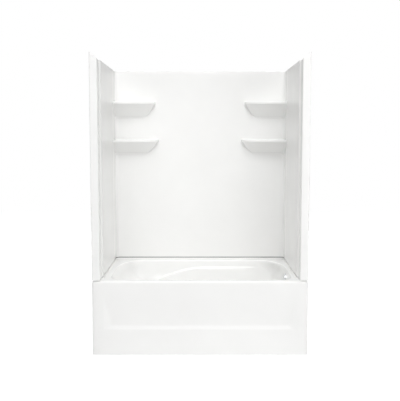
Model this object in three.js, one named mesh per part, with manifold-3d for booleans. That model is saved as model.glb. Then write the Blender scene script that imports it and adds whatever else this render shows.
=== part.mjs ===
// Tub and shower unit: a moulded bathtub with three wall sheets, its timber backing and its waste set.
// Millimetres, Z up. X runs to the right, Y from the front plane (0) to the back until the last group,
// which centres the depth.
import * as THREE from "three";
import { mergeVertices } from "three/addons/utils/BufferGeometryUtils.js";
import Module from "manifold-3d";

const wasm = await Module();
wasm.setup();

// Driving sizes of the whole unit
const overallWidth = 1524;
const overallHeight = 2125;
const overallDepth = 938;
const backSpace = 25;
const deckTop = 533.5;
const wallTopDrop = 48;

// Clearances and overruns
const seatGap = 0.3;
const overrun = 20;
const lap = 2;
const weldDistance = 1e-3;

// Wall sheets
const sheet = 5;
const flangeWidth = 55;
const wallInset = 66;
const returnDepth = 85;
const stepRun = 12;
const flangeLip = 22;
const flangeRound = 6;
const cornerLeg = 152;
const cornerRound = 24;
const jointGap = 3;
const deckGap = 5.5;
const jointFlange = 28;
const edgeSetback = 5;
const flangeSlantRise = 41;

// Shelves moulded in the back wall
const shelfThickness = 20;
const upperShelfHeight = 120;
const lowerShelfHeight = 111;
const shelfProjection = 147;
const shelfUndercut = 7;
const upperShelfDrop = 249;
const lowerShelfDrop = 553.5;
const upperShelfLength = 331;
const lowerShelfLength = 356;
const shelfPower = 2.6;
const shelfEndFall = 0.15;
const shelfEndRound = 0.08;
const shelfFrontFall = 0.7;
const shelfFrontRound = 0.1;

// Tub deck, ledge and apron
const tubSheet = 6;
const ledgeRise = 7;
const ledgeReveal = 6;
const ledgeStart = 88;
const rimRoundDepth = 22;
const rimRoundHeight = 16;
const apronCornerRound = 20;
const apronEdgeRun = 44;
const apronEdgeDepth = 9;
const apronEndDepth = 60;
const recessDepth = 14;
const recessLedgeBottom = 183.5;
const recessLedgeTop = 213;
const recessFadeDrop = 87.5;
const recessMargin = 78;
const recessSideRun = 55;

// Basin
const basinFront = 65.5;
const backDeckWidth = 88;
const drainDeckWidth = 97.5;
const backrestDeckWidth = 115.5;
const basinRoll = 9;
const frontRollWidth = 32;
const frontRollHeight = 16;
const basinFloor = 150;
const floorFall = 8;
const endLength = 198;
const lowerEndLength = 120;
const endBlendDepth = 100;
const backEndPower = 2.3;
const frontEndPower = 6;
const lowerEndPower = 3;
const sideSlope = 0.16;
const drainEndSlope = 0.12;
const backrestSlope = 0.5;
const backrestExtra = 120;
const floorFillet = 70;
const armrestDrop = 50.5;
const armrestRound = 12;
const armrestDepth = 22;
const armrestLevelSetback = 706;
const armrestFallSetback = 277.5;
const armrestFall = 103;
const armrestEndSetback = 198.5;
const armrestFadeRun = 139;
const armrestEndPower = 7;
const frontRollPower = 4;

// Seals and clips
const sealSetback = 4;
const sealWidth = 16;
const clipSheet = 1.5;
const clipLength = 30;
const clipReach = 17;

// Timber
const boardThickness = 12;
const boardEndInset = 265.5;
const boardSideInset = 170;
const boardShift = -10;
const bearerWidth = 45;
const bearerFront = 45;
const bearerBackInset = 48;
const bearerEndInset = 60;
const apronBattenThickness = 18;
const apronBattenHeight = 55;
const apronBattenEndInset = 112;
const apronBattenDrop = 23.5;
const wallBattenThickness = 19;
const wallBattenHeight = 90;
const backBattenEndInset = 96;
const sideBattenFront = 140;
const sideBattenBackGap = 68;
const lowerBattenHeight = 1000;
const upperBattenDrop = 447;

// Waste and overflow set
const drainSetback = 165;
const pipeRadius = 19;
const pipeWall = 1.7;
const socketWall = 4.7;
const nutWall = 5;
const nutLength = 22;
const nutLip = 8;
const strainerRadius = 36;
const strainerFlange = 3;
const strainerRim = 2.5;
const strainerSeat = 27;
const barrelRadius = 22.5;
const barrelWall = 3.5;
const barrelLength = 44;
const floorHoleClearance = 2;
const dishRadius = 48;
const dishDepth = 3;
const crossBar = 4;
const crossHeight = 5;
const hubRadius = 7;
const postRadius = 4.5;
const postHeight = 42;
const stopperRadius = 26;
const stopperDome = 5;
const stopperEdge = 2;
const sleeveRadius = 8;
const sleeveLength = 22;
const stopperSealThickness = 2.5;
const stopperSealRadius = 25;
const washerThickness = 3;
const washerRadius = 31;
const shoeRadius = 29;
const shoeOutletHeight = 100;
const shoeOutletLength = 62;
const teeInset = 44;
const teeSideLength = 46;
const teeUp = 60;
const teeDown = 48;
const tailEnd = 4;
const socketDepth = 24;
const overflowDrop = 72.5;
const overflowHole = 30;
const coverRadius = 38;
const coverDepth = 12;
const coverThickness = 3;
const coverRound = 5;
const overflowWasher = 4;
const elbowFlangeRadius = 36;
const elbowFlange = 5;
const elbowBore = 14;
const elbowBossRadius = 19;
const elbowDrop = 48;
const elbowRise = 26;
const screwSpacing = 22;
const screwRadius = 2.2;
const screwHead = 4.2;
const screwHeadHeight = 2;

const halfWidth = overallWidth / 2;
const alcoveDepth = overallDepth - backSpace;
const wallTop = overallHeight - wallTopDrop;
const wallFace = halfWidth - wallInset;
const returnFace = halfWidth - flangeWidth;
const sheetEdge = halfWidth - edgeSetback;
const backEdge = overallDepth - clipSheet - seatGap;
const ledgeTop = deckTop + ledgeRise;
const wallBottom = ledgeTop + deckGap;
const flangeBottom = deckTop + jointGap;
const jointFront = alcoveDepth - cornerLeg - jointGap;
const jointBack = alcoveDepth - cornerLeg;
const basinRight = halfWidth - drainDeckWidth;
const basinLeft = halfWidth - backrestDeckWidth;
const basinBack = alcoveDepth - backDeckWidth;
const basinMiddle = (basinFront + basinBack) / 2;
const basinHalfWidth = (basinBack - basinFront) / 2;
const basinDepth = deckTop - basinFloor;
const floorUnderside = basinFloor - tubSheet;
const dishFloor = basinFloor - dishDepth;
const dishUnderside = dishFloor - tubSheet;
const drainX = basinRight - drainSetback;
const drainAxis = [drainX, basinMiddle];

// Solids: a closed geometry turned to face outwards, which can be joined and cut.
function solidOf(geometry) {
  const bare = geometry.clone();
  for (const name of Object.keys(bare.attributes)) {
    if (name !== "position") bare.deleteAttribute(name);
  }
  const merged = mergeVertices(bare, weldDistance);
  const made = new wasm.Manifold(
    new wasm.Mesh({
      numProp: 3,
      vertProperties: merged.attributes.position.array,
      triVerts: new Uint32Array(merged.index.array),
    }),
  );
  if (made.volume() > 0) return made;
  const turned = new Uint32Array(merged.index.array);
  for (let i = 0; i < turned.length; i += 3) {
    [turned[i + 1], turned[i + 2]] = [turned[i + 2], turned[i + 1]];
  }
  return new wasm.Manifold(
    new wasm.Mesh({ numProp: 3, vertProperties: merged.attributes.position.array, triVerts: turned }),
  );
}

function geometryOf(solid) {
  const mesh = solid.getMesh();
  const places = new Float32Array(mesh.numVert * 3);
  for (let i = 0; i < mesh.numVert; i++) {
    const start = i * mesh.numProp;
    places.set(mesh.vertProperties.subarray(start, start + 3), i * 3);
  }
  const geometry = new THREE.BufferGeometry();
  geometry.setAttribute("position", new THREE.BufferAttribute(places, 3));
  geometry.setIndex(new THREE.BufferAttribute(mesh.triVerts, 1));
  return geometry;
}

const join = (first, ...others) => others.reduce((all, other) => all.add(other), first);
const cut = (first, ...others) => others.reduce((all, other) => all.subtract(other), first);
const steps = (count) => Array.from({ length: count + 1 }, (_, i) => i / count);
const mix = (a, b, share) => a + (b - a) * share;

function smooth(share) {
  const held = Math.min(Math.max(share, 0), 1);
  return held * held * (3 - 2 * held);
}

// Prisms: an outline in two of the axes, carried along the third.
function prism(axis, outline, from, to) {
  const shape = new THREE.Shape(outline.map(([a, b]) => new THREE.Vector2(a, b)));
  const geometry = new THREE.ExtrudeGeometry(shape, { depth: to - from, bevelEnabled: false });
  if (axis === "x") {
    const [x, y, z] = [0, 1, 2].map((place) => new THREE.Vector3().setComponent(place, 1));
    geometry.applyMatrix4(new THREE.Matrix4().makeBasis(y, z, x)).translate(from, 0, 0);
  } else if (axis === "y") {
    geometry.rotateX(Math.PI / 2).translate(0, to, 0);
  } else {
    geometry.translate(0, 0, from);
  }
  return solidOf(geometry);
}

function block([x0, x1], [y0, y1], [z0, z1]) {
  const geometry = new THREE.BoxGeometry(x1 - x0, y1 - y0, z1 - z0);
  return solidOf(geometry.translate((x0 + x1) / 2, (y0 + y1) / 2, (z0 + z1) / 2));
}

const circle = (radius, count, [a, b] = [0, 0]) =>
  steps(count)
    .slice(0, -1)
    .map((share) => {
      const angle = 2 * Math.PI * share;
      return [a + radius * Math.cos(angle), b + radius * Math.sin(angle)];
    });

// A turned solid about an upright axis at [x, y]: the profile is pairs of radius and height.
function turned(profile, [x, y] = [0, 0], count = 28) {
  const points = [...profile, profile[0]].map(([radius, height]) => new THREE.Vector2(radius, height));
  return solidOf(new THREE.LatheGeometry(points, count).rotateX(Math.PI / 2).translate(x, y, 0));
}

const tube = (outer, inner, from, to) => [
  [inner, from],
  [outer, from],
  [outer, to],
  [inner, to],
];

const rod = (radius, from, to) => [
  [0, from],
  [radius, from],
  [radius, to],
  [0, to],
];

// Turns an upright solid to lie along X, or to another direction, and moves it.
function laid(solid, direction, [x, y, z]) {
  const up = new THREE.Vector3(0, 0, 1);
  const turn = new THREE.Quaternion().setFromUnitVectors(up, new THREE.Vector3(...direction).normalize());
  return solidOf(geometryOf(solid).applyQuaternion(turn).translate(x, y, z));
}

// An open path with its corners rounded: each point is [x, y, radius].
function roundedPath(points, count = 4) {
  const out = [];
  points.forEach(([x, y, radius = 0], i) => {
    if (!radius || i === 0 || i === points.length - 1) {
      out.push([x, y]);
      return;
    }
    const here = new THREE.Vector2(x, y);
    const before = new THREE.Vector2(points[i - 1][0], points[i - 1][1]).sub(here).normalize();
    const after = new THREE.Vector2(points[i + 1][0], points[i + 1][1]).sub(here).normalize();
    const half = Math.acos(before.dot(after)) / 2;
    const centre = before.clone().add(after).normalize().multiplyScalar(radius / Math.sin(half)).add(here);
    const start = before.multiplyScalar(radius / Math.tan(half)).add(here).sub(centre);
    const end = after.multiplyScalar(radius / Math.tan(half)).add(here).sub(centre);
    const sweep = Math.atan2(start.x * end.y - start.y * end.x, start.dot(end));
    for (const share of steps(count)) {
      const spoke = start.clone().rotateAround(new THREE.Vector2(), sweep * share).add(centre);
      out.push([spoke.x, spoke.y]);
    }
  });
  return out;
}

// The same path moved sideways by a distance, to the left of its run where that is positive.
function offsetPath(path, distance) {
  const normals = path.slice(1).map(([x, y], i) => {
    const run = new THREE.Vector2(x - path[i][0], y - path[i][1]).normalize();
    return new THREE.Vector2(-run.y, run.x);
  });
  return path.map(([x, y], i) => {
    const before = normals[Math.max(i - 1, 0)];
    const after = normals[Math.min(i, normals.length - 1)];
    const mid = before.clone().add(after).normalize();
    const reach = distance / mid.dot(after);
    return [x + mid.x * reach, y + mid.y * reach];
  });
}

const band = (path, from, to) => [...offsetPath(path, from), ...offsetPath(path, to).reverse()];

// A solid through rings of points with a fan at both ends.
function loft(rings) {
  const count = rings[0].length;
  const places = rings.flat(2);
  const faces = [];
  const middle = (ring) => {
    const sum = ring.reduce((all, point) => all.map((value, axis) => value + point[axis]), [0, 0, 0]);
    return sum.map((value) => value / count);
  };
  rings.slice(1).forEach((_, row) => {
    for (let i = 0; i < count; i++) {
      const next = (i + 1) % count;
      const a = row * count + i;
      const b = row * count + next;
      faces.push(a, b, a + count, b, b + count, a + count);
    }
  });
  const last = (rings.length - 1) * count;
  places.push(...middle(rings[0]), ...middle(rings.at(-1)));
  const top = rings.length * count;
  for (let i = 0; i < count; i++) {
    const next = (i + 1) % count;
    faces.push(top, next, i, top + 1, last + i, last + next);
  }
  const geometry = new THREE.BufferGeometry();
  geometry.setAttribute("position", new THREE.BufferAttribute(new Float32Array(places), 3));
  geometry.setIndex(faces);
  return solidOf(geometry);
}

// A bent sheet: two grids of the same size, front and back, closed round their edges. The cells of
// the left half are split the other way from those of the right half.
function bentSheet(front, back) {
  const rows = front.length;
  const columns = front[0].length;
  const at = (side, row, column) => side * rows * columns + row * columns + column;
  const faces = [];
  for (let row = 0; row + 1 < rows; row++) {
    for (let column = 0; column + 1 < columns; column++) {
      const [a, b, c, d] = [[row, column], [row, column + 1], [row + 1, column + 1], [row + 1, column]];
      const halves = 2 * column + 1 < columns ? [[a, b, c], [a, c, d]] : [[a, b, d], [b, c, d]];
      for (const half of halves) {
        faces.push(...half.map((place) => at(0, ...place)));
        faces.push(...half.map((place) => at(1, ...place)).reverse());
      }
    }
  }
  const edge = [
    ...front[0].map((_, column) => [0, column]),
    ...front.slice(1).map((_, row) => [row + 1, columns - 1]),
    ...front[0].slice(1).map((_, column) => [rows - 1, columns - 2 - column]),
    ...front.slice(2).map((_, row) => [rows - 2 - row, 0]),
  ];
  edge.forEach((place, i) => {
    const next = edge[(i + 1) % edge.length];
    faces.push(at(0, ...place), at(1, ...place), at(0, ...next));
    faces.push(at(0, ...next), at(1, ...place), at(1, ...next));
  });
  const geometry = new THREE.BufferGeometry();
  const places = new Float32Array([...front, ...back].flat(2));
  geometry.setAttribute("position", new THREE.BufferAttribute(places, 3));
  geometry.setIndex(faces);
  return solidOf(geometry);
}

// Basin: its plan has straight sides and two bowed ends, which tighten a little below the rim.
const endSteps = 14;
const sideSteps = 12;
const endAngles = steps(endSteps).map((share) => Math.PI * (share - 0.5));
const sideShares = steps(sideSteps).slice(1, -1);
const stations = [
  ...endAngles.map((angle) => ({ end: 1, along: Math.cos(angle), across: Math.sin(angle) })),
  ...sideShares.map((share) => ({ share, across: 1 })),
  ...endAngles.map((angle) => ({ end: -1, along: Math.cos(angle), across: -Math.sin(angle) })),
  ...sideShares.map((share) => ({ share: 1 - share, across: -1 })),
];

// Height of the armrest's edge, level along most of the side and falling away towards the backrest.
const armrestLevelEnd = armrestLevelSetback - basinLeft;

function armrestLine(x) {
  const leftRun = Math.max(0, armrestLevelEnd - x) / (armrestLevelSetback - armrestFallSetback);
  const lowest = basinFloor + floorFillet + armrestRound;
  return Math.max(deckTop - armrestDrop - armrestFall * leftRun * leftRun, lowest);
}

function armrestInset(x, z) {
  const fade = smooth((basinRight - armrestEndSetback - x) / armrestFadeRun);
  return armrestDepth * fade * smooth((armrestLine(x) - z) / armrestRound);
}

// Where one station of the basin lies at a height: grown outwards by a wall, drawn in by a fillet.
function basinPlan({ end, along = 0, across, share }, z, grow, inset = 0) {
  const down = deckTop - z;
  const depthShare = down / basinDepth;
  const blend = smooth(down / endBlendDepth);
  const length = mix(endLength, lowerEndLength, blend) + grow;
  const right = basinRight - drainEndSlope * down + grow - inset;
  const left = -basinLeft + backrestSlope * down + backrestExtra * depthShare * depthShare - grow + inset;
  const half = basinHalfWidth - sideSlope * down + grow - inset;
  const power = mix(across < 0 ? frontEndPower : backEndPower, lowerEndPower, blend);
  const bow = length * Math.abs(along) ** (2 / power);
  const straight = mix(right - length, left + length, share);
  const x = end === 1 ? right - length + bow : end === -1 ? left + length - bow : straight;
  const reach = Math.sign(across) * Math.abs(across) ** (2 / power);
  return { x, reach, y: basinMiddle + half * reach, slopeShare: (right - x) / (right - left) };
}

function basinPoint(station, z, grow) {
  const { x, y, reach } = basinPlan(station, z, grow);
  return [x, y - armrestInset(x, z) * reach ** armrestEndPower, z];
}

// The rim rolls over tightly at the back and ends and broadly along the front.
function rimRing(share, grow) {
  const angle = (Math.PI / 2) * share;
  const edge = stations.map((station) => basinPoint(station, deckTop, grow));
  return edge.map(([x, y, z], i) => {
    const broad = Math.max(0, -stations[i].across) ** frontRollPower;
    const out = mix(basinRoll, frontRollWidth, broad) * (1 - Math.sin(angle));
    const down = mix(basinRoll, frontRollHeight, broad) * (1 - Math.cos(angle));
    const before = edge.at(i - 1);
    const after = edge[(i + 1) % edge.length];
    const normal = new THREE.Vector2(after[1] - before[1], before[0] - after[0]).normalize();
    return [x + normal.x * out, y + normal.y * out, z - down];
  });
}

const wallStart = deckTop - frontRollHeight;

// Heights of the basin's wall at one station: two steps to the armrest, three over it, four below.
function wallHeights(station, filletTop) {
  const line = armrestLine(basinPlan(station, wallStart, 0).x);
  const over = steps(2).map((share) => mix(wallStart, line, share));
  const along = steps(3).map((share) => line - armrestRound * share);
  const below = steps(4).map((share) => mix(line - armrestRound, filletTop, share));
  return [...over, ...along.slice(1), ...below.slice(1)];
}

function basinLoft(grow, floor, fall, top) {
  const filletTop = floor + floorFillet;
  const heights = stations.map((station) => wallHeights(station, filletTop));
  const wallRings = heights[0].map((_, row) =>
    stations.map((station, i) => basinPoint(station, heights[i][row], grow)),
  );
  const filletRings = steps(4)
    .slice(1)
    .map((share) => {
      const angle = (Math.PI / 2) * share;
      const inset = floorFillet * (1 - Math.cos(angle));
      const z = filletTop - floorFillet * Math.sin(angle);
      return stations.map((station) => {
        const { x, y, reach, slopeShare } = basinPlan(station, z, grow, inset);
        const rest = armrestInset(x, z) * reach ** armrestEndPower;
        return [x, y - rest, z + fall * Math.sin(angle) * slopeShare];
      });
    });
  const rollRings = steps(4).map((share) => rimRing(share, grow));
  const lid = rollRings[0].map(([x, y]) => [x, y, top]);
  return loft([lid, ...rollRings, ...wallRings, ...filletRings]);
}

// Apron: rows run up the face and over the rounded rim, columns follow the edge of the recess. The sides
// of the recess keep one slope, so they narrow as its depth runs out towards the top.
const recessFade = deckTop - recessFadeDrop;
const recessEdge = halfWidth - recessMargin;

function recessAt(z) {
  if (z <= recessLedgeBottom || z >= recessFade) return 0;
  if (z < recessLedgeTop) {
    return (recessDepth * (z - recessLedgeBottom)) / (recessLedgeTop - recessLedgeBottom);
  }
  return recessDepth * (1 - smooth((z - recessLedgeTop) / (recessFade - recessLedgeTop)));
}

const rimStart = deckTop - rimRoundHeight;

function rimProfile(wall) {
  return steps(5).map((share) => {
    const angle = (Math.PI / 2) * share;
    return [
      rimRoundDepth - (rimRoundDepth - wall) * Math.cos(angle),
      rimStart + (rimRoundHeight - wall) * Math.sin(angle),
    ];
  });
}

function apronRows(wall) {
  const heights = [
    0,
    recessLedgeBottom,
    ...steps(6).map((share) => mix(recessLedgeTop, recessFade, share)),
  ];
  const face = heights.map((z) => [wall, z]);
  const rim = rimProfile(wall);
  return [...face, ...rim, [ledgeStart, deckTop - wall]];
}

// The bend at the apron's ends fades out where the rim runs level.
const bendShare = (y) => Math.max(0, 1 - y / ledgeStart);

function apron() {
  // Each column at one side: its reach from the middle, its depth behind the face, its share of the recess.
  const sideColumns = (z) => {
    const run = Math.max((recessSideRun * recessAt(z)) / recessDepth, lap);
    const bend = steps(4).map((share) => {
      const angle = (Math.PI / 2) * share;
      const reach = halfWidth - apronEdgeRun * (1 - Math.sin(angle));
      return [reach, apronEdgeDepth * (1 - Math.cos(angle)), 0];
    });
    return [[recessEdge - run, 0, 1], [recessEdge, 0, 0], ...bend];
  };
  const columns = (z) => {
    const right = sideColumns(z);
    const left = right.map(([reach, back, share]) => [-reach, back, share]).reverse();
    return [...left, [0, 0, 1], ...right];
  };
  const grid = (wall) =>
    apronRows(wall).map(([y, z]) =>
      columns(z).map(([x, back, share]) => [x, y + back * bendShare(y) + recessAt(z) * share, z]),
    );
  const ends = [-1, 1].map((side) => {
    const start = apronEdgeDepth + lap;
    const profile = [
      [start, 0],
      [apronEndDepth, 0],
      [apronEndDepth, deckTop - lap],
      [start + rimRoundDepth, deckTop - lap],
      [start, rimStart],
    ];
    const inner = side * (halfWidth - tubSheet);
    const outer = side * halfWidth;
    return prism("x", profile, Math.min(inner, outer), Math.max(inner, outer));
  });
  const front = [
    [-halfWidth, 0],
    [halfWidth, 0],
    [halfWidth, deckTop, apronCornerRound],
    [-halfWidth, deckTop, apronCornerRound],
    [-halfWidth, 0],
  ];
  const outline = prism("y", roundedPath(front), -overrun, ledgeStart + overrun);
  return join(bentSheet(grid(0), grid(tubSheet)), ...ends).intersect(outline);
}

function deck() {
  const frontHalf = halfWidth - apronCornerRound;
  const slab = [
    [-frontHalf, rimRoundDepth],
    [frontHalf, rimRoundDepth],
    [frontHalf, ledgeStart],
    [sheetEdge, ledgeStart],
    [sheetEdge, backEdge],
    [-sheetEdge, backEdge],
    [-sheetEdge, ledgeStart],
    [-frontHalf, ledgeStart],
  ];
  const inside = wallFace - ledgeReveal;
  const insideBack = alcoveDepth - ledgeReveal;
  const insidePath = roundedPath([
    [inside, ledgeStart],
    [inside, insideBack, cornerRound - ledgeReveal],
    [-inside, insideBack, cornerRound - ledgeReveal],
    [-inside, ledgeStart],
  ]);
  const ledge = [
    [-sheetEdge, ledgeStart],
    [-sheetEdge, backEdge],
    [sheetEdge, backEdge],
    [sheetEdge, ledgeStart],
  ];
  return join(
    prism("z", slab, deckTop - tubSheet, deckTop),
    prism("z", [...ledge, ...insidePath], deckTop - lap, ledgeTop),
  );
}

// Overflow: its axis is square to the end wall, which leans outwards as it rises.
const overflowHeight = deckTop - overflowDrop;
const overflowX = basinRight - drainEndSlope * overflowDrop;
const lean = Math.atan(drainEndSlope);
const overflowAxis = [-Math.cos(lean), 0, Math.sin(lean)];
const wallBack = -tubSheet * Math.cos(lean);
const onOverflow = (solid) => laid(solid, overflowAxis, [overflowX, basinMiddle, overflowHeight]);

function tubShell() {
  const outer = basinLoft(tubSheet, floorUnderside, 0, deckTop - lap);
  const inner = basinLoft(0, basinFloor, floorFall, deckTop + overrun);
  const drainPad = turned(rod(dishRadius + tubSheet, dishUnderside, basinFloor - lap), drainAxis);
  const drainDish = turned(rod(dishRadius, dishFloor, basinFloor + overrun), drainAxis);
  const drainHole = turned(
    rod(barrelRadius + floorHoleClearance, dishUnderside - overrun, basinFloor + overrun),
    drainAxis,
  );
  const overflowPad = onOverflow(turned(rod(elbowFlangeRadius + lap, wallBack, -lap)));
  const overflowSeat = onOverflow(turned(rod(coverRadius + lap, 0, overrun)));
  const overflowOpening = onOverflow(turned(rod(overflowHole, -overrun, overrun)));
  return cut(
    join(deck(), apron(), outer, drainPad, overflowPad),
    inner,
    drainDish,
    drainHole,
    overflowSeat,
    overflowOpening,
  );
}

// Side wall at the right: the left one is its mirror image.
const sidePath = roundedPath([
  [halfWidth, flangeLip],
  [halfWidth, 0, flangeRound],
  [returnFace, 0, flangeRound],
  [returnFace, returnDepth, flangeRound],
  [wallFace, returnDepth + stepRun, flangeRound],
  [wallFace, jointFront],
  [wallFace + jointFlange, jointFront],
]);

function mirrored(solid) {
  return solidOf(geometryOf(solid).scale(-1, 1, 1));
}

function sideWall() {
  const skin = prism("z", band(sidePath, 0, -sheet), flangeBottom, overallHeight);
  const alongWall = [
    [returnFace + lap, ledgeStart],
    [wallFace + lap, returnDepth + stepRun + flangeRound],
    [wallFace + lap, jointFront],
  ];
  const foot = [...alongWall, [sheetEdge, jointFront], [sheetEdge, ledgeStart]];
  const head = [...alongWall, [wallFace + jointFlange, jointFront], [wallFace + jointFlange, ledgeStart]];
  const underWall = block(
    [wallFace - overrun, halfWidth + overrun],
    [ledgeStart - lap, alcoveDepth],
    [flangeBottom - overrun, wallBottom],
  );
  const overWall = block(
    [wallFace - overrun, halfWidth + overrun],
    [flangeLip + lap, alcoveDepth],
    [wallTop, overallHeight + overrun],
  );
  const slant = [
    [wallFace - overrun, wallTop],
    [returnFace, wallTop],
    [returnFace, overallHeight - flangeSlantRise],
    [halfWidth, overallHeight],
    [halfWidth + overrun, overallHeight],
    [halfWidth + overrun, overallHeight + overrun],
    [wallFace - overrun, overallHeight + overrun],
  ];
  return join(
    cut(skin, underWall, overWall, prism("y", slant, -overrun, alcoveDepth)),
    prism("z", foot, wallBottom, wallBottom + sheet),
    prism("z", head, wallTop - sheet, wallTop),
  );
}

// Back wall: one sheet round both corners, with its shelves moulded in and hollow from behind.
const backPath = (inward) =>
  roundedPath(
    [
      [-wallFace - jointFlange, jointBack],
      [-wallFace + inward, jointBack],
      [-wallFace + inward, alcoveDepth - inward, cornerRound],
      [wallFace - inward, alcoveDepth - inward, cornerRound],
      [wallFace - inward, jointBack],
      [wallFace + jointFlange, jointBack],
    ],
    6,
  );

const shelfSteps = 12;
const shelfRows = 6;

// One shelf at the right: rings of a bowed quarter plan, drawn in towards the wall as they go down.
function shelfBody(top, height, run, wall) {
  const reach = run - wall;
  const corner = [wallFace + overrun, alcoveDepth + overrun];
  const lipBottom = top - shelfThickness + wall;
  const lip = [
    [top - wall, 0],
    [lipBottom, 0],
    [lipBottom, shelfUndercut],
  ];
  const ring = (z, depth, length) => {
    const front = steps(shelfSteps).map((share) => {
      const angle = (Math.PI / 2) * share;
      const along = Math.sin(angle) ** (2 / shelfPower);
      const out = Math.cos(angle) ** (2 / shelfPower);
      return [wallFace - length * along, alcoveDepth - depth * out, z];
    });
    const tipX = wallFace - length;
    return [
      [corner[0], alcoveDepth - depth, z],
      ...front,
      [tipX, corner[1], z],
      [...corner, z],
    ];
  };
  const depth = shelfProjection - wall;
  const under = steps(shelfRows).slice(1).map((share) => {
    const down = Math.sin((Math.PI / 2) * share);
    const round = 1 - Math.cos((Math.PI / 2) * share);
    const z = mix(lipBottom, top - height + wall, down);
    const length = (reach - shelfUndercut) * (1 - shelfEndFall * down - shelfEndRound * round);
    const out = (depth - shelfUndercut) * (1 - shelfFrontFall * down - shelfFrontRound * round);
    return ring(z, out, length);
  });
  return loft([...lip.map(([z, inset]) => ring(z, depth - inset, reach - inset)), ...under]);
}

function backWall() {
  const path = backPath(0);
  const skin = prism("z", band(path, 0, sheet), wallBottom, wallTop);
  const midPath = offsetPath(path, sheet / 2).slice(1, -1);
  const room = prism("z", midPath, wallBottom, wallTop);
  const inside = offsetPath(path, lap).slice(1, -1);
  const edgeAt = (side) => [
    [side, jointBack],
    [side, backEdge],
    [-side, backEdge],
    [-side, jointBack],
  ];
  const footEdge = edgeAt(sheetEdge);
  const headEdge = edgeAt(wallFace + jointFlange);
  const shelves = [
    [wallTop - upperShelfDrop, upperShelfHeight, upperShelfLength],
    [wallTop - lowerShelfDrop, lowerShelfHeight, lowerShelfLength],
  ];
  const bodies = shelves.map((shelf) => shelfBody(...shelf, 0));
  const pockets = shelves.map((shelf) => shelfBody(...shelf, sheet));
  const both = (solids) => solids.flatMap((solid) => [solid, mirrored(solid)]);
  return cut(
    join(
      skin,
      ...both(bodies).map((body) => body.intersect(room)),
      prism("z", [...inside, ...footEdge], wallBottom, wallBottom + sheet),
      prism("z", [...inside, ...headEdge], wallTop - sheet, wallTop),
    ),
    ...both(pockets),
  );
}

// Seals lie in the joints, set back from the faces.
const sealThickness = deckGap - 2 * seatGap;

function sideSeal() {
  const strip = [
    [wallFace + sealSetback, returnDepth + stepRun],
    [wallFace + sealSetback + sealWidth, returnDepth + stepRun],
    [wallFace + sealSetback + sealWidth, jointFront],
    [wallFace + sealSetback, jointFront],
  ];
  return prism("z", strip, ledgeTop + seatGap, ledgeTop + seatGap + sealThickness);
}

function backSeal() {
  const path = roundedPath([
    [-wallFace, jointBack],
    [-wallFace, alcoveDepth, cornerRound],
    [wallFace, alcoveDepth, cornerRound],
    [wallFace, jointBack],
  ]);
  const strip = band(path, sealSetback, sealSetback + sealWidth);
  return prism("z", strip, ledgeTop + seatGap, ledgeTop + seatGap + sealThickness);
}

function cornerSeal() {
  return block(
    [wallFace + sealSetback, wallFace + sealSetback + sealWidth],
    [jointFront + seatGap, jointBack - seatGap],
    [wallBottom + sheet, wallTop - sheet],
  );
}

// Spring clips: a U of sheet metal pushed over two edges. The U opens towards -X and lies in X and Y.
function clip(grip) {
  const half = grip / 2 + seatGap;
  const back = seatGap;
  const outline = [
    [-clipReach, -half - clipSheet],
    [back + clipSheet, -half - clipSheet],
    [back + clipSheet, half + clipSheet],
    [-clipReach, half + clipSheet],
    [-clipReach, half],
    [back, half],
    [back, -half],
    [-clipReach, -half],
  ];
  return prism("z", outline, -clipLength / 2, clipLength / 2);
}

function cornerClip(height) {
  const solid = clip(2 * sheet + jointGap);
  const middle = (jointFront + jointBack) / 2;
  return solidOf(geometryOf(solid).translate(wallFace + jointFlange, middle, height));
}

const deckGrip = tubSheet + ledgeRise + deckGap + sheet;
const deckGripMiddle = deckTop - tubSheet + deckGrip / 2;

function sideDeckClip(y) {
  const upright = geometryOf(clip(deckGrip)).rotateX(Math.PI / 2);
  return solidOf(upright.translate(sheetEdge, y, deckGripMiddle));
}

function backDeckClip(x) {
  const upright = geometryOf(clip(deckGrip)).rotateX(Math.PI / 2).rotateZ(Math.PI / 2);
  return solidOf(upright.translate(x, backEdge, deckGripMiddle));
}

// Timber
const boardTop = floorUnderside - seatGap;
const boardBottom = boardTop - boardThickness;
const boardHalfLength = (basinRight + basinLeft) / 2 - boardEndInset;
const boardHalfWidth = basinHalfWidth - boardSideInset;

function baseBoard() {
  return block(
    [boardShift - boardHalfLength, boardShift + boardHalfLength],
    [basinMiddle - boardHalfWidth, basinMiddle + boardHalfWidth],
    [boardBottom, boardTop],
  );
}

function bearer(place) {
  const x = boardShift + place * (boardHalfLength - bearerEndInset);
  const sides = [x - bearerWidth / 2, x + bearerWidth / 2];
  return block(sides, [bearerFront, overallDepth - bearerBackInset], [0, boardBottom - seatGap]);
}

function apronBatten() {
  const front = tubSheet + seatGap;
  const half = halfWidth - apronBattenEndInset;
  const top = deckTop - apronBattenDrop;
  return block([-half, half], [front, front + apronBattenThickness], [top - apronBattenHeight, top]);
}

function backBatten(height) {
  const half = wallFace - backBattenEndInset;
  return block(
    [-half, half],
    [alcoveDepth + sheet + seatGap, overallDepth],
    [height - wallBattenHeight / 2, height + wallBattenHeight / 2],
  );
}

function sideBatten(height) {
  const inner = wallFace + sheet + seatGap;
  return block(
    [inner, inner + wallBattenThickness],
    [sideBattenFront, jointFront - sideBattenBackGap],
    [height - wallBattenHeight / 2, height + wallBattenHeight / 2],
  );
}

// Waste set
const socketBore = pipeRadius + seatGap;
const socketRadius = socketBore + socketWall;
const seatHeight = dishFloor + seatGap;
const barrelBottom = seatHeight - barrelLength;
const teeX = halfWidth - teeInset;

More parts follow.
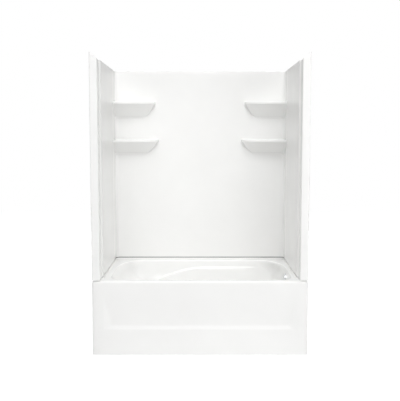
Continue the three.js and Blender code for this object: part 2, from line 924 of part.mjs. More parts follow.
function drainStrainer() {
  const bore = barrelRadius - barrelWall;
  const profile = [
    [bore, barrelBottom],
    [barrelRadius, barrelBottom],
    [barrelRadius, seatHeight],
    [strainerRadius, seatHeight],
    [strainerSeat + strainerRim, seatHeight + strainerFlange + strainerRim],
    [strainerSeat, seatHeight + strainerFlange + strainerRim],
    [strainerSeat, seatHeight + strainerFlange],
    [bore, seatHeight + strainerFlange],
  ];
  const across = bore + barrelWall / 2;
  const heights = [barrelBottom, barrelBottom + crossHeight];
  const bar = (halfX, halfY) =>
    block([drainX - halfX, drainX + halfX], [basinMiddle - halfY, basinMiddle + halfY], heights);
  const bars = [bar(across, crossBar / 2), bar(crossBar / 2, across)];
  return join(turned(profile, drainAxis, 32), ...bars, turned(rod(hubRadius, ...heights), drainAxis, 16));
}

const hubTop = barrelBottom + crossHeight;
const stopperSeat = seatHeight + strainerFlange + seatGap;
const stopperUnderside = stopperSeat + stopperSealThickness + seatGap;

function stopperPost() {
  return turned(rod(postRadius, hubTop + seatGap, hubTop + seatGap + postHeight), drainAxis, 20);
}

function drainStopper() {
  const bore = postRadius + seatGap;
  const edge = stopperUnderside + stopperEdge;
  const dome = steps(4).map((share) => {
    const angle = (Math.PI / 2) * share;
    return [stopperRadius * Math.cos(angle), edge + stopperDome * Math.sin(angle)];
  });
  const profile = [
    [bore, stopperUnderside - sleeveLength],
    [sleeveRadius, stopperUnderside - sleeveLength],
    [sleeveRadius, stopperUnderside],
    [stopperRadius, stopperUnderside],
    ...dome.slice(0, -1),
    [0, edge + stopperDome],
    [0, edge],
    [bore, edge],
  ];
  return turned(profile, drainAxis, 32);
}

function stopperSeal() {
  const inner = sleeveRadius + seatGap;
  return turned(tube(stopperSealRadius, inner, stopperSeat, stopperSeat + stopperSealThickness), drainAxis);
}

const washerTop = dishUnderside - seatGap;
const shoeTop = washerTop - washerThickness - seatGap;
const shoeBore = barrelRadius + seatGap;

function drainWasher() {
  return turned(tube(washerRadius, shoeBore, washerTop - washerThickness, washerTop), drainAxis);
}

// A turned solid that lies along X at the middle of the basin.
const lying = (profile, [x, z]) => laid(turned(profile, [0, 0], 24), [1, 0, 0], [x, basinMiddle, z]);

function drainShoe() {
  const bottom = shoeOutletHeight - socketRadius;
  const body = turned(rod(shoeRadius, bottom, shoeTop), drainAxis);
  const outlet = lying(rod(socketRadius, 0, shoeOutletLength), [drainX, shoeOutletHeight]);
  const well = turned(rod(shoeBore, shoeOutletHeight - pipeRadius, shoeTop + overrun), drainAxis);
  const throat = lying(rod(pipeRadius - pipeWall, 0, shoeOutletLength), [drainX, shoeOutletHeight]);
  const socket = lying(rod(socketBore, shoeOutletLength - socketDepth, shoeOutletLength + overrun), [
    drainX,
    shoeOutletHeight,
  ]);
  return cut(join(body, outlet), well, throat, socket);
}

// A slip nut: a six-sided ring that laps the socket's end and closes round the pipe.
function slipNut() {
  const inner = socketRadius + seatGap;
  const sides = prism("z", circle(inner + nutWall, 6), nutLip - nutLength, nutLip);
  const lapBore = turned(rod(inner, nutLip - nutLength - overrun, seatGap), [0, 0], 24);
  const pipeBore = turned(rod(socketBore, -overrun, nutLip + overrun), [0, 0], 24);
  return cut(sides, lapBore, pipeBore);
}

const pipeProfile = (from, to) => tube(pipeRadius, pipeRadius - pipeWall, from, to);
const outletEnd = drainX + shoeOutletLength;
const teeInlet = teeX - teeSideLength;
const teeTop = shoeOutletHeight + teeUp;
const teeBottom = shoeOutletHeight - teeDown;

function wastePipe() {
  return lying(pipeProfile(outletEnd - socketDepth + seatGap, teeInlet + socketDepth - seatGap), [
    0,
    shoeOutletHeight,
  ]);
}

function wasteTee() {
  const axis = [teeX, basinMiddle];
  const body = turned(rod(socketRadius, teeBottom, teeTop), axis, 24);
  const side = lying(rod(socketRadius, teeInlet, teeX), [0, shoeOutletHeight]);
  const throat = turned(rod(pipeRadius - pipeWall, teeBottom - overrun, teeTop + overrun), axis, 24);
  const sideThroat = lying(rod(pipeRadius - pipeWall, teeInlet - overrun, teeX), [0, shoeOutletHeight]);
  const sockets = [
    turned(rod(socketBore, teeTop - socketDepth, teeTop + overrun), axis, 24),
    turned(rod(socketBore, teeBottom - overrun, teeBottom + socketDepth), axis, 24),
    lying(rod(socketBore, teeInlet - overrun, teeInlet + socketDepth), [0, shoeOutletHeight]),
  ];
  return cut(join(body, side), throat, sideThroat, ...sockets);
}

const elbowBottom = overflowHeight - elbowDrop;

function overflowPipe() {
  const from = teeTop - socketDepth + seatGap;
  const to = elbowBottom + socketDepth - seatGap;
  return turned(pipeProfile(from, to), [teeX, basinMiddle], 24);
}

function tailpiece() {
  return turned(pipeProfile(tailEnd, teeBottom + socketDepth - seatGap), [teeX, basinMiddle], 24);
}

// The overflow set counts its heights along the overflow's axis from the end wall's wet face.
const washerFace = wallBack - seatGap;
const flangeFace = washerFace - overflowWasher - seatGap;

const screwHolesBetween = (from, to) =>
  [-1, 1].map((side) => prism("z", circle(screwRadius + seatGap, 12, [side * screwSpacing, 0]), from, to));

function overflowWasherRing() {
  const bore = overflowHole - 2 * seatGap;
  return onOverflow(turned(tube(elbowFlangeRadius, bore, washerFace - overflowWasher, washerFace)));
}

function overflowElbow() {
  const flange = turned(rod(elbowFlangeRadius, flangeFace - elbowFlange, flangeFace));
  const screwHoles = screwHolesBetween(flangeFace - elbowFlange - lap, flangeFace + lap);
  const bossLength = teeX - overflowX;
  const top = overflowHeight + elbowRise;
  const boss = turned(rod(elbowBossRadius, -bossLength, flangeFace - lap));
  const axis = [teeX, basinMiddle];
  const body = turned(rod(socketRadius, elbowBottom, top), axis, 24);
  const well = turned(rod(socketBore, elbowBottom - overrun, elbowBottom + socketDepth), axis, 24);
  const throat = turned(rod(pipeRadius - pipeWall, elbowBottom, overflowHeight + elbowBore), axis, 24);
  const bore = turned(rod(elbowBore, -bossLength, overrun), [0, 0], 24);
  const drilled = cut(flange, ...screwHoles);
  return cut(join(onOverflow(drilled), onOverflow(boss), body), onOverflow(bore), well, throat);
}

function overflowCover() {
  const outside = coverDepth;
  const profile = [
    [coverRadius - coverThickness, seatGap],
    [coverRadius, seatGap],
    [coverRadius, outside - coverRound],
    [coverRadius - coverRound, outside],
    [0, outside],
    [0, outside - coverThickness],
    [coverRadius - coverThickness - coverRound / 2, outside - coverThickness],
    [coverRadius - coverThickness, outside - coverRound],
  ];
  const holes = screwHolesBetween(-overrun, coverDepth + overrun);
  const inlet = block(
    [-coverRadius - overrun, -coverRadius + coverRound],
    [-screwSpacing, screwSpacing],
    [-overrun, coverDepth - coverRound],
  );
  return onOverflow(cut(turned(profile, [0, 0], 36), ...holes, inlet));
}

function overflowScrew(side) {
  const seat = coverDepth + seatGap;
  const profile = [
    [0, flangeFace - elbowFlange],
    [screwRadius, flangeFace - elbowFlange],
    [screwRadius, seat],
    [screwHead, seat],
    [screwHead, seat + screwHeadHeight / 2],
    [screwHead / 2, seat + screwHeadHeight],
    [0, seat + screwHeadHeight],
  ];
  return onOverflow(turned(profile, [side * screwSpacing, 0], 14));
}

// Finishes
const finishes = {
  gelcoat: { color: 0xf7f7f5, roughness: 0.12, metalness: 0 },
  seal: { color: 0x8f9194, roughness: 0.8, metalness: 0 },
  timber: { color: 0xc9a877, roughness: 0.8, metalness: 0 },
  steel: { color: 0xb9bcc0, roughness: 0.35, metalness: 1 },
  chrome: { color: 0xe6e8ea, roughness: 0.08, metalness: 1 },
  rubber: { color: 0x2a2a2c, roughness: 0.85, metalness: 0 },
  pipe: { color: 0xe9e8e2, roughness: 0.4, metalness: 0 },
};

const unit = new THREE.Group();
unit.position.y = -overallDepth / 2;

function add(name, finish, solid) {
  const mesh = new THREE.Mesh(geometryOf(solid), new THREE.MeshStandardMaterial(finishes[finish]));
  mesh.name = name;
  unit.add(mesh);
}

function addPair(name, finish, solid, ending = "") {
  add(`left_${name}${ending}`, finish, mirrored(solid));
  add(`right_${name}${ending}`, finish, solid);
}

add("tub_shell", "gelcoat", tubShell());
add("back_wall", "gelcoat", backWall());
addPair("wall", "gelcoat", sideWall());

add("back_deck_seal", "seal", backSeal());
addPair("deck_seal", "seal", sideSeal());
addPair("corner_seal", "seal", cornerSeal());

const cornerClipShares = [0.15, 0.5, 0.85];
cornerClipShares.forEach((share, i) => {
  addPair("corner_clip_", "steel", cornerClip(mix(wallBottom, wallTop, share)), i + 1);
});
const sideClipShares = [0.2, 0.85];
sideClipShares.forEach((share, i) => {
  addPair("deck_clip_", "steel", sideDeckClip(mix(ledgeStart, jointFront, share)), i + 1);
});
const backClipShares = [-0.7, 0, 0.7];
backClipShares.forEach((share, i) => {
  add(`back_deck_clip_${i + 1}`, "steel", backDeckClip(wallFace * share));
});

add("base_board", "timber", baseBoard());
add("left_bearer", "timber", bearer(-1));
add("middle_bearer", "timber", bearer(0));
add("right_bearer", "timber", bearer(1));
add("apron_batten", "timber", apronBatten());
const upperBattenHeight = wallTop - upperBattenDrop;
add("back_batten_lower", "timber", backBatten(lowerBattenHeight));
add("back_batten_upper", "timber", backBatten(upperBattenHeight));
addPair("batten_lower", "timber", sideBatten(lowerBattenHeight));
addPair("batten_upper", "timber", sideBatten(upperBattenHeight));

add("drain_strainer", "chrome", drainStrainer());
add("stopper_post", "chrome", stopperPost());
add("drain_stopper", "chrome", drainStopper());
add("stopper_seal", "rubber", stopperSeal());
add("drain_washer", "rubber", drainWasher());
add("drain_shoe", "pipe", drainShoe());
add("waste_pipe", "pipe", wastePipe());
add("waste_tee", "pipe", wasteTee());
add("tailpiece", "pipe", tailpiece());
add("overflow_pipe", "pipe", overflowPipe());
add("overflow_elbow", "pipe", overflowElbow());
add("overflow_washer", "rubber", overflowWasherRing());
add("overflow_cover", "chrome", overflowCover());
add("overflow_screw_upper", "chrome", overflowScrew(1));
add("overflow_screw_lower", "chrome", overflowScrew(-1));

const nutPlaces = {
  shoe_nut: [[1, 0, 0], [outletEnd, basinMiddle, shoeOutletHeight]],
  tee_inlet_nut: [[-1, 0, 0], [teeInlet, basinMiddle, shoeOutletHeight]],
  tee_top_nut: [[0, 0, 1], [teeX, basinMiddle, teeTop]],
  tee_bottom_nut: [[0, 0, -1], [teeX, basinMiddle, teeBottom]],
  elbow_nut: [[0, 0, -1], [teeX, basinMiddle, elbowBottom]],
};
for (const [name, [direction, place]] of Object.entries(nutPlaces)) {
  add(name, "pipe", laid(slipNut(), direction, place));
}

export default unit;
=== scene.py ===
"""Looks of a tub and shower unit: moulded gloss-white tub, two side walls and a back wall with four
moulded shelves, with the timber behind them and the waste and overflow set. Metres, Z up, front at -Y."""

import math

import bmesh
import bpy
import numpy as np
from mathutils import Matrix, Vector


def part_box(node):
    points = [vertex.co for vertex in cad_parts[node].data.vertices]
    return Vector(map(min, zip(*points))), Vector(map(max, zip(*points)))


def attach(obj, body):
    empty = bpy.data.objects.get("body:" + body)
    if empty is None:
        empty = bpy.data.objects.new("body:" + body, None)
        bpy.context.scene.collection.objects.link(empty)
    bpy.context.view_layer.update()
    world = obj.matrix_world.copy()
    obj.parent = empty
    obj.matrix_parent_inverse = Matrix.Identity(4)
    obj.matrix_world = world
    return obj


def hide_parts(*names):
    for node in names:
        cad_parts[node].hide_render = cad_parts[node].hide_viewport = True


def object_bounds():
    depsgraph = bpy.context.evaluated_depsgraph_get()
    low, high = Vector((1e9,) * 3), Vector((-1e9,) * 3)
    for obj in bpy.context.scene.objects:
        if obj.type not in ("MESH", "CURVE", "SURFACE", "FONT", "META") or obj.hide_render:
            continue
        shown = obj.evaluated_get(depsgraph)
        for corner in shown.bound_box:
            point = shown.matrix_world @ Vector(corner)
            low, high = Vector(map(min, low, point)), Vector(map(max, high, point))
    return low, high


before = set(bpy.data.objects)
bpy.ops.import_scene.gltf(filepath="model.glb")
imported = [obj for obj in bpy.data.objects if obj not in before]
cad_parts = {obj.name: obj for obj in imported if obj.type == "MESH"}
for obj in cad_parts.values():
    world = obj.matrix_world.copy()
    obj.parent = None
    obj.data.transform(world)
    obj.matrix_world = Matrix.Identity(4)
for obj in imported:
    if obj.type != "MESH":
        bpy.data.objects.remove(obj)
CAD_BOX = [list(corner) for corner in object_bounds()]

bl_info = {
    "name": "Tub and Shower Unit",
    "version": (1, 0, 0),
    "blender": (4, 5, 0),
    "location": "3D View > Sidebar > Tub Unit",
    "description": "Builds a moulded tub and shower unit with its timber backing and waste set",
    "category": "Add Mesh",
}

UNIT_LOW, UNIT_HIGH = (Vector(corner) for corner in CAD_BOX)


def length(name, default, description):
    """A size in metres that a user can change."""
    return bpy.props.FloatProperty(
        name=name,
        description=description,
        default=default,
        min=0.0,
        precision=4,
        subtype="DISTANCE",
        unit="LENGTH",
    )


def number(name, default, description):
    """A plain number that a user can change."""
    return bpy.props.FloatProperty(name=name, description=description, default=default, precision=3)


def colour(name, default, description):
    """A colour that a user can change."""
    return bpy.props.FloatVectorProperty(
        name=name, description=description, default=default, min=0.0, max=1.0, size=3, subtype="COLOR"
    )


class TubUnitFrame(bpy.types.PropertyGroup):
    """Sizes that every piece shares."""

    half_width: length("Half width", UNIT_HIGH.x, "Half of the unit's width over its flanges")
    height: length("Height", UNIT_HIGH.z, "Height of the flanges' outer tips")
    front: length("Front depth", -UNIT_LOW.y, "Distance of the front face before the middle of the depth")
    alcove_depth: length("Alcove depth", 0.913, "Depth from the front face to the face of the back wall")
    deck_top: length("Deck height", 0.5335, "Height of the flat deck round the basin")
    wall_inset: length("Wall inset", 0.066, "Distance of a side wall's face inside the unit's side")
    gap: length("Joint gap", 0.003, "Width of the upright joints and of the gap under the flanges")
    deck_gap: length("Deck gap", 0.0055, "Width of the joint between the walls and the ledge")
    ledge_rise: length("Ledge rise", 0.007, "Height of the low ledge under the walls")


class TubUnitTub(bpy.types.PropertyGroup):
    """Sizes of the tub: basin, rim, armrest and apron."""

    sheet: length("Sheet", 0.006, "Thickness of the moulded tub")
    basin_front: length("Basin front", 0.0655, "Depth at which the front wall of the basin starts")
    basin_back: length("Basin back", 0.825, "Depth at which the back wall of the basin starts")
    basin_right: length("Basin right", 0.6645, "Reach of the basin towards the drain end")
    basin_left: length("Basin left", 0.6465, "Reach of the basin towards the backrest end")
    floor: length("Basin floor", 0.15, "Height of the basin floor at the drain end")
    floor_fall: length("Floor fall", 0.008, "Rise of the floor from the drain end to the backrest end")
    roll: length("Rim roll", 0.009, "Radius of the rim's edge at the back and ends")
    front_roll_width: length("Front roll width", 0.032, "Width of the broad roll along the front rim")
    front_roll_height: length("Front roll height", 0.016, "Height of the broad roll along the front rim")
    fillet: length("Floor fillet", 0.07, "Radius between the basin's walls and its floor")
    armrest_drop: length("Armrest drop", 0.0505, "Distance of the armrest's edge below the deck")
    armrest_depth: length("Armrest depth", 0.022, "Width of the armrest's ledge")
    armrest_round: length("Armrest round", 0.012, "Height over which the armrest's ledge turns")
    armrest_fall: length("Armrest fall", 0.103, "Fall of the armrest's edge towards the backrest")
    apron_bend: length("Apron bend", 0.044, "Width of the bend at each end of the apron")
    recess_depth: length("Recess depth", 0.014, "Depth of the apron's panel at its ledge")
    recess_margin: length("Recess margin", 0.078, "Distance of the panel's edge from the unit's side")
    recess_side_run: length("Recess side run", 0.055, "Width of the panel's side slope at its full depth")
    recess_ledge_bottom: length("Recess ledge bottom", 0.1835, "Height at which the apron's ledge starts")
    recess_ledge_top: length("Recess ledge top", 0.213, "Height at which the apron's ledge ends")
    recess_fade: length("Recess fade", 0.446, "Height at which the apron's panel runs out into its face")
    drain_setback: length("Drain setback", 0.165, "Distance of the drain from the drain end")


class TubUnitWalls(bpy.types.PropertyGroup):
    """Sizes of the wall sheets and the shelves."""

    sheet: length("Sheet", 0.005, "Thickness of a wall sheet")
    flange: length("Flange width", 0.055, "Width of the front-facing flange")
    return_depth: length("Return depth", 0.085, "Depth of the step behind the flange")
    slant: length("Flange slant", 0.041, "Rise of the flange's top from its inner to its outer edge")
    wall_drop: length("Wall drop", 0.048, "Distance of the wall's top below the flange tips")
    corner_leg: length("Corner leg", 0.152, "Depth of the back wall's turn along each side")
    corner_round: length("Corner round", 0.024, "Radius of the back corners")
    shelf_projection: length("Shelf projection", 0.147, "Distance that a shelf stands out from the back wall")
    shelf_lip: length("Shelf lip", 0.02, "Height of a shelf's front edge")
    upper_shelf: length("Upper shelf", 1.828, "Height of the upper shelf's top")
    lower_shelf: length("Lower shelf", 1.5235, "Height of the lower shelf's top")
    upper_shelf_run: length("Upper shelf length", 0.331, "Length of the upper shelf along the back wall")
    lower_shelf_run: length("Lower shelf length", 0.356, "Length of the lower shelf along the back wall")
    upper_shelf_height: length("Upper shelf height", 0.12, "Height of the upper shelf with its underside")
    lower_shelf_height: length("Lower shelf height", 0.111, "Height of the lower shelf with its underside")


class TubUnitFinish(bpy.types.PropertyGroup):
    """Colours of the finishes."""

    gelcoat: colour("Gelcoat", (0.93, 0.93, 0.92), "Glossy white of the moulded sheets")
    # The seals' dark grey is partly their own colour and partly painted shade standing in for the shadow in
    # the joint gaps
    seal: colour("Seal", (0.12, 0.12, 0.125), "Dark grey foam of the seals")
    timber: colour("Timber", (0.58, 0.39, 0.18), "Sawn softwood and plywood")
    steel: colour("Steel", (0.48, 0.50, 0.53), "Plain spring steel")
    chrome: colour("Chrome", (0.79, 0.80, 0.82), "Polished chrome plate")
    rubber: colour("Rubber", (0.02, 0.02, 0.02), "Black rubber washers")
    pipe: colour("Pipe", (0.81, 0.80, 0.76), "White plastic drain pipe")


class TubUnitStage(bpy.types.PropertyGroup):
    """Camera, lamps and floor."""

    camera_distance: length("Camera distance", 4.7606, "Distance of the camera before the front face")
    camera_height: length("Camera height", 1.5393, "Height of the camera above the floor")
    camera_pitch: number("Camera pitch", 5.23, "Downward tilt of the camera, in degrees")
    lens: number("Lens", 61.74, "Focal length in millimetres on a 36 mm wide sensor")
    fill: number("Fill", 0.155, "Strength of the even light from all round")
    sheen: number("Sheen", 0.7, "Level of the surroundings that glossy surfaces reflect")
    lamps: number("Lamps", 1.0, "Level of all the lamps together")


# Shader maths


class Value:
    """A socket of a material or of the world. Sums, products and at_least() add their Math nodes."""

    def __init__(self, nodes, socket):
        self.nodes = nodes
        self.socket = socket

    def combine(self, operation, other):
        """The result of a Math node on this value and another."""
        made = self.nodes.node("ShaderNodeMath", {"operation": operation}, {0: self, 1: other})
        return self.nodes.out(made)

    def __add__(self, other):
        return self.combine("ADD", other)

    def __mul__(self, other):
        return self.combine("MULTIPLY", other)

    __radd__ = __add__
    __rmul__ = __mul__

    def at_least(self, other):
        """The larger of this value and another."""
        return self.combine("MAXIMUM", other)


class Nodes:
    """The nodes of a material or of the world, made through node() and joined through feed()."""

    def __init__(self, owner):
        owner.use_nodes = True
        self.owner = owner
        self.tree = owner.node_tree

    def node(self, kind, settings=None, values=None):
        """A node of a type: its settings come first, then the values or links of its sockets."""
        made = self.tree.nodes.new(kind)
        for key, value in (settings or {}).items():
            if key == "stops":
                ramp = made.color_ramp.elements
                while len(ramp) < len(value):
                    ramp.new(0.5)
                for element, (position, hue) in zip(ramp, value):
                    element.position = position
                    element.color = (*hue, 1.0)
            else:
                setattr(made, key, value)
        for key, value in (values or {}).items():
            self.feed(made.inputs[key], value)
        return made

    def feed(self, socket, value):
        """Links a Value to a socket, or sets a plain number or colour on it."""
        if isinstance(value, Value):
            self.tree.links.new(value.socket, socket)
        else:
            socket.default_value = value

    def out(self, node, name=0):
        """One output of a node, by its name or its place."""
        return Value(self, node.outputs[name])


class Paint(Nodes):
    """One material."""

    def __init__(self, name):
        super().__init__(bpy.data.materials.new(name))
        self.shader = self.tree.nodes["Principled BSDF"]
        self.place = self.out(self.node("ShaderNodeTexCoord"), "Object")

    def stretched(self, scale, turn=(0.0, 0.0, 0.0)):
        """The piece's own coordinates, turned and then scaled for a pattern."""
        turned = self.node("ShaderNodeMapping", None, {"Vector": self.place, "Rotation": turn})
        return self.out(self.node("ShaderNodeMapping", None, {"Vector": self.out(turned), "Scale": scale}))

    def noise(self, scale, detail=3.0, place=None, roughness=0.5):
        """Soft noise between 0 and 1."""
        values = {"Vector": place or self.place, "Scale": scale, "Detail": detail, "Roughness": roughness}
        return self.out(self.node("ShaderNodeTexNoise", None, values))

    def tones(self, factor, base, *stops):
        """A colour that follows a factor: each stop is a position and a level of the base colour."""
        colours = [(position, tint(base, level)) for position, level in stops]
        return self.out(self.node("ShaderNodeValToRGB", {"stops": colours}, {"Fac": factor}))

    def bump(self, height, strength, distance):
        """A normal that tilts with a height."""
        values = {"Height": height, "Strength": strength, "Distance": distance}
        return self.out(self.node("ShaderNodeBump", None, values), "Normal")

    def finish(self, **sockets):
        """Sets the shader's sockets, each by its name with underscores for spaces."""
        for name, value in sockets.items():
            self.feed(self.shader.inputs[name.replace("_", " ")], value)
        return self.owner


def tint(base, factor):
    """A colour made lighter or darker by a factor and held within 0 and 1."""
    return tuple(min(max(channel * factor, 0.0), 1.0) for channel in base)


def gelcoat(name):
    """Glossy white moulded sheet: faint cloudiness in colour and gloss, and the soft ripple of a moulding."""
    paint = Paint(name)
    hue = paint.tones(paint.noise(3.0, 4.0), bpy.context.scene.tub_finish.gelcoat, (0.3, 0.985), (0.7, 1.01))
    gloss = 0.23 + paint.noise(7.0, 5.0) * 0.04
    ripple = paint.bump(paint.noise(28.0, 2.0), 0.03, 0.0003)
    return paint.finish(Base_Color=hue, Roughness=gloss, Normal=ripple, IOR=1.5)


def foam_with_gap_shade(name):
    """Grey foam strip: small closed cells. Its dark grey is partly the foam's own colour and partly painted
    shade standing in for the shadow in the joint gaps.
    """
    paint = Paint(name)
    hue = paint.tones(paint.noise(120.0), bpy.context.scene.tub_finish.seal, (0.3, 0.85), (0.7, 1.15))
    cells = paint.out(paint.node("ShaderNodeTexVoronoi", None, {"Vector": paint.place, "Scale": 900.0}))
    return paint.finish(Base_Color=hue, Roughness=0.85, Normal=paint.bump(cells, 0.4, 0.0006))


def timber(name, turn):
    """Sawn softwood: rings of darker late wood stretched along the grain, with pores between them."""
    paint = Paint(name)
    grain = paint.stretched((1.5, 22.0, 22.0), turn)
    bands = paint.node(
        "ShaderNodeTexWave",
        {"bands_direction": "Y"},
        {"Vector": grain, "Scale": 1.1, "Distortion": 6.0, "Detail": 3.0, "Detail Scale": 0.7},
    )
    rings = paint.out(bands, "Fac")
    pores = paint.noise(14.0, 8.0, paint.stretched((3.0, 60.0, 60.0), turn), 0.7)
    figure = rings * 0.65 + pores * 0.35
    hue = paint.tones(figure, bpy.context.scene.tub_finish.timber, (0.1, 1.25), (0.5, 1.0), (0.9, 0.62))
    rough = 0.62 + pores * 0.25
    return paint.finish(Base_Color=hue, Roughness=rough, Normal=paint.bump(figure, 0.35, 0.001))


def metal(name, base, rough, stretch, strength):
    """Metal with fine lines along one direction and cloudy gloss."""
    paint = Paint(name)
    lines = paint.noise(60.0, 4.0, paint.stretched(stretch))
    hue = paint.tones(lines, base, (0.35, 0.93), (0.65, 1.05))
    gloss = paint.noise(25.0) * 0.06 + lines * 0.08 + rough
    brushed = paint.bump(lines, strength, 0.0004)
    return paint.finish(Base_Color=hue, Roughness=gloss, Metallic=1.0, Normal=brushed)


def rubber(name):
    """Black rubber: faint bloom and grain."""
    paint = Paint(name)
    bloom = paint.noise(60.0, 5.0)
    hue = paint.tones(bloom, bpy.context.scene.tub_finish.rubber, (0.35, 1.0), (0.75, 2.2))
    grain = paint.bump(paint.noise(700.0), 0.2, 0.0004)
    return paint.finish(Base_Color=hue, Roughness=0.6 + bloom * 0.3, Normal=grain)


def pipe_plastic(name):
    """White drain pipe: satin, with flow marks of the moulding."""
    paint = Paint(name)
    flow = paint.noise(18.0, 3.0)
    hue = paint.tones(flow, bpy.context.scene.tub_finish.pipe, (0.3, 0.95), (0.7, 1.03))
    grain = paint.bump(paint.noise(160.0), 0.08, 0.0006)
    return paint.finish(Base_Color=hue, Roughness=0.3 + flow * 0.15, Normal=grain)


def finish_named(slot_name, along="X"):
    """The material of one of the record's slots, made the first time it is asked for. Timber takes the
    direction of its grain."""
    colours = bpy.context.scene.tub_finish
    turn = (0.0, 0.0, 0.0 if along == "X" else math.radians(90.0))
    finishes = {
        "gelcoat": ("moulded_gelcoat", gelcoat),
        # The seal foam is dark partly for its own colour and partly as painted shade for the joint gaps
        "seal": ("seal_foam", foam_with_gap_shade),
        "timber": (f"timber_{along.lower()}", timber, turn),
        "steel": ("spring_steel", metal, colours.steel, 0.28, (1.0, 1.0, 14.0), 0.15),
        "chrome": ("chrome_plate", metal, colours.chrome, 0.04, (1.0, 1.0, 1.0), 0.0),
        "rubber": ("black_rubber", rubber),
        "pipe": ("pipe_plastic", pipe_plastic),
    }
    name, make, *values = finishes[slot_name]
    return bpy.data.materials.get(name) or make(name, *values)


# Surfaces


# Keeps a divisor away from nothing, and a comparison clear of rounding
TINY = 1e-9


def smooth(value):
    """0 below 0, 1 above 1, and an even S between."""
    held = np.clip(value, 0.0, 1.0)
    return held * held * (3.0 - 2.0 * held)


def mix(a, b, value):
    """a at 0, b at 1, and on a straight line between."""
    return a + (b - a) * value


def grid(points, closed=False, flip=False):
    """Points on a grid of rows and columns, and its four-sided faces. A closed grid joins its last column
    to its first."""
    rows, columns = points.shape[:2]
    index = np.arange(rows * columns).reshape(rows, columns)
    if closed:
        index = np.hstack([index, index[:, :1]])
    corners = [index[:-1, :-1], index[:-1, 1:], index[1:, 1:], index[1:, :-1]]
    faces = np.stack(corners, axis=-1).reshape(-1, 4)
    return points.reshape(-1, 3), faces[:, ::-1] if flip else faces


def placed(name, data):
    """A new object of the scene that holds a mesh, a lamp or a camera."""
    made = bpy.data.objects.new(name, data)
    bpy.context.scene.collection.objects.link(made)
    return made


def skin(name, patches, slot_name, nodes, body="unit", wall=0.0, sharp=40.0):
    """One piece from grid patches, whose depths start at the unit's front face: welded, given its wall to
    the inside, shaded smooth up to an angle, and set to ride on a body in place of its solids."""
    weld, sliver = 2e-5, 1e-6
    places, faces, start = [], [], 0
    for points, quads in patches:
        places.append(points)
        faces.append(quads + start)
        start += len(points)
    places = np.concatenate(places)
    places[:, 1] -= bpy.context.scene.tub_frame.front
    mesh = bpy.data.meshes.new(name)
    mesh.from_pydata(places, [], np.concatenate(faces).tolist())
    work = bmesh.new()
    work.from_mesh(mesh)
    bmesh.ops.remove_doubles(work, verts=work.verts, dist=weld)
    bmesh.ops.dissolve_degenerate(work, edges=work.edges, dist=sliver)
    work.to_mesh(mesh)
    work.free()
    piece = placed(name, mesh)
    if wall:
        solidify = piece.modifiers.new("wall", "SOLIDIFY")
        solidify.thickness = wall
        solidify.offset = -1.0
        solidify.use_even_offset = False
    shade(piece, sharp)
    return dress(piece, slot_name, nodes, body)


def shade(piece, sharp):
    """Smooth shading, with open edges and edges sharper than an angle left as edges."""
    mesh = piece.data
    mesh.polygons.foreach_set("use_smooth", np.ones(len(mesh.polygons), dtype=bool))
    mesh.set_sharp_from_angle(angle=math.radians(sharp))
    used = np.empty(len(mesh.loops), dtype=np.int32)
    mesh.loops.foreach_get("edge_index", used)
    as_edge = np.empty(len(mesh.edges), dtype=bool)
    mesh.edges.foreach_get("use_edge_sharp", as_edge)
    open_edge = np.bincount(used, minlength=len(as_edge)) == 1
    mesh.edges.foreach_set("use_edge_sharp", as_edge | open_edge)


def dress(piece, slot_name, nodes, body="unit", along="X"):
    """Gives a piece its finish, its body and the solids that it stands for."""
    piece.data.materials.clear()
    piece.data.materials.append(finish_named(slot_name, along))
    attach(piece, body)
    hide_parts(*nodes)
    return piece


def eased_copy(node, slot_name, edge, body="unit", along="X"):
    """A node's own shape with its doubles merged, its edges eased and its round faces shaded smooth."""
    weld, flat_angle, ease_angle, sharp_angle = 1e-5, 1.0, 50.0, 32.0
    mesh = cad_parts[node].data.copy()
    mesh.name = f"{node}_eased"
    work = bmesh.new()
    work.from_mesh(mesh)
    bmesh.ops.remove_doubles(work, verts=work.verts, dist=weld)
    flat = math.radians(flat_angle)
    bmesh.ops.dissolve_limit(work, angle_limit=flat, verts=work.verts, edges=work.edges, delimit={"NORMAL"})
    work.to_mesh(mesh)
    work.free()
    piece = placed(f"{node}_eased", mesh)
    if edge:
        bevel = piece.modifiers.new("edge", "BEVEL")
        bevel.width = edge
        bevel.segments = 2
        bevel.limit_method = "ANGLE"
        bevel.angle_limit = math.radians(ease_angle)
        bevel.use_clamp_overlap = True
    shade(piece, sharp_angle)
    return dress(piece, slot_name, [node], body, along)


def rounded_path(corners, count=8):
    """A path through corners, each x, y and radius, with an arc of its radius at each inner corner."""
    points = []
    for index, (x, y, radius) in enumerate(corners):
        if not radius or index in (0, len(corners) - 1):
            points.append([[x, y]])
            continue
        here = np.array([x, y])
        before = np.array(corners[index - 1][:2]) - here
        after = np.array(corners[index + 1][:2]) - here
        before, after = before / np.linalg.norm(before), after / np.linalg.norm(after)
        half = math.acos(np.clip(before @ after, -1.0, 1.0)) / 2
        middle = (before + after) / np.linalg.norm(before + after)
        centre = here + middle * radius / math.sin(half)
        start = here + before * radius / math.tan(half) - centre
        end = here + after * radius / math.tan(half) - centre
        sweep = math.atan2(start[0] * end[1] - start[1] * end[0], start @ end)
        angles = np.linspace(0.0, sweep, count + 1)[:, None]
        spin = np.hstack([-start[1:], start[:1]])
        points.append(centre + start * np.cos(angles) + spin * np.sin(angles))
    return np.concatenate(points)


def resampled(path, spacing):
    """The same path with points no further apart than a spacing, its own corners kept."""
    out = [path[:1]]
    for start, end in zip(path[:-1], path[1:]):
        count = max(int(np.ceil(np.linalg.norm(end - start) / spacing)), 1)
        out.append(start + (end - start) * np.linspace(0.0, 1.0, count + 1)[1:, None])
    return np.concatenate(out)


def normals_of(path):
    """Unit normals to the left of a path's run, averaged at its points."""
    runs = np.diff(path, axis=0)
    runs = runs / np.linalg.norm(runs, axis=1)[:, None]
    both = np.vstack([runs[:1], runs]) + np.vstack([runs, runs[-1:]])
    both = both / np.linalg.norm(both, axis=1)[:, None]
    return np.stack([-both[:, 1], both[:, 0]], axis=1)


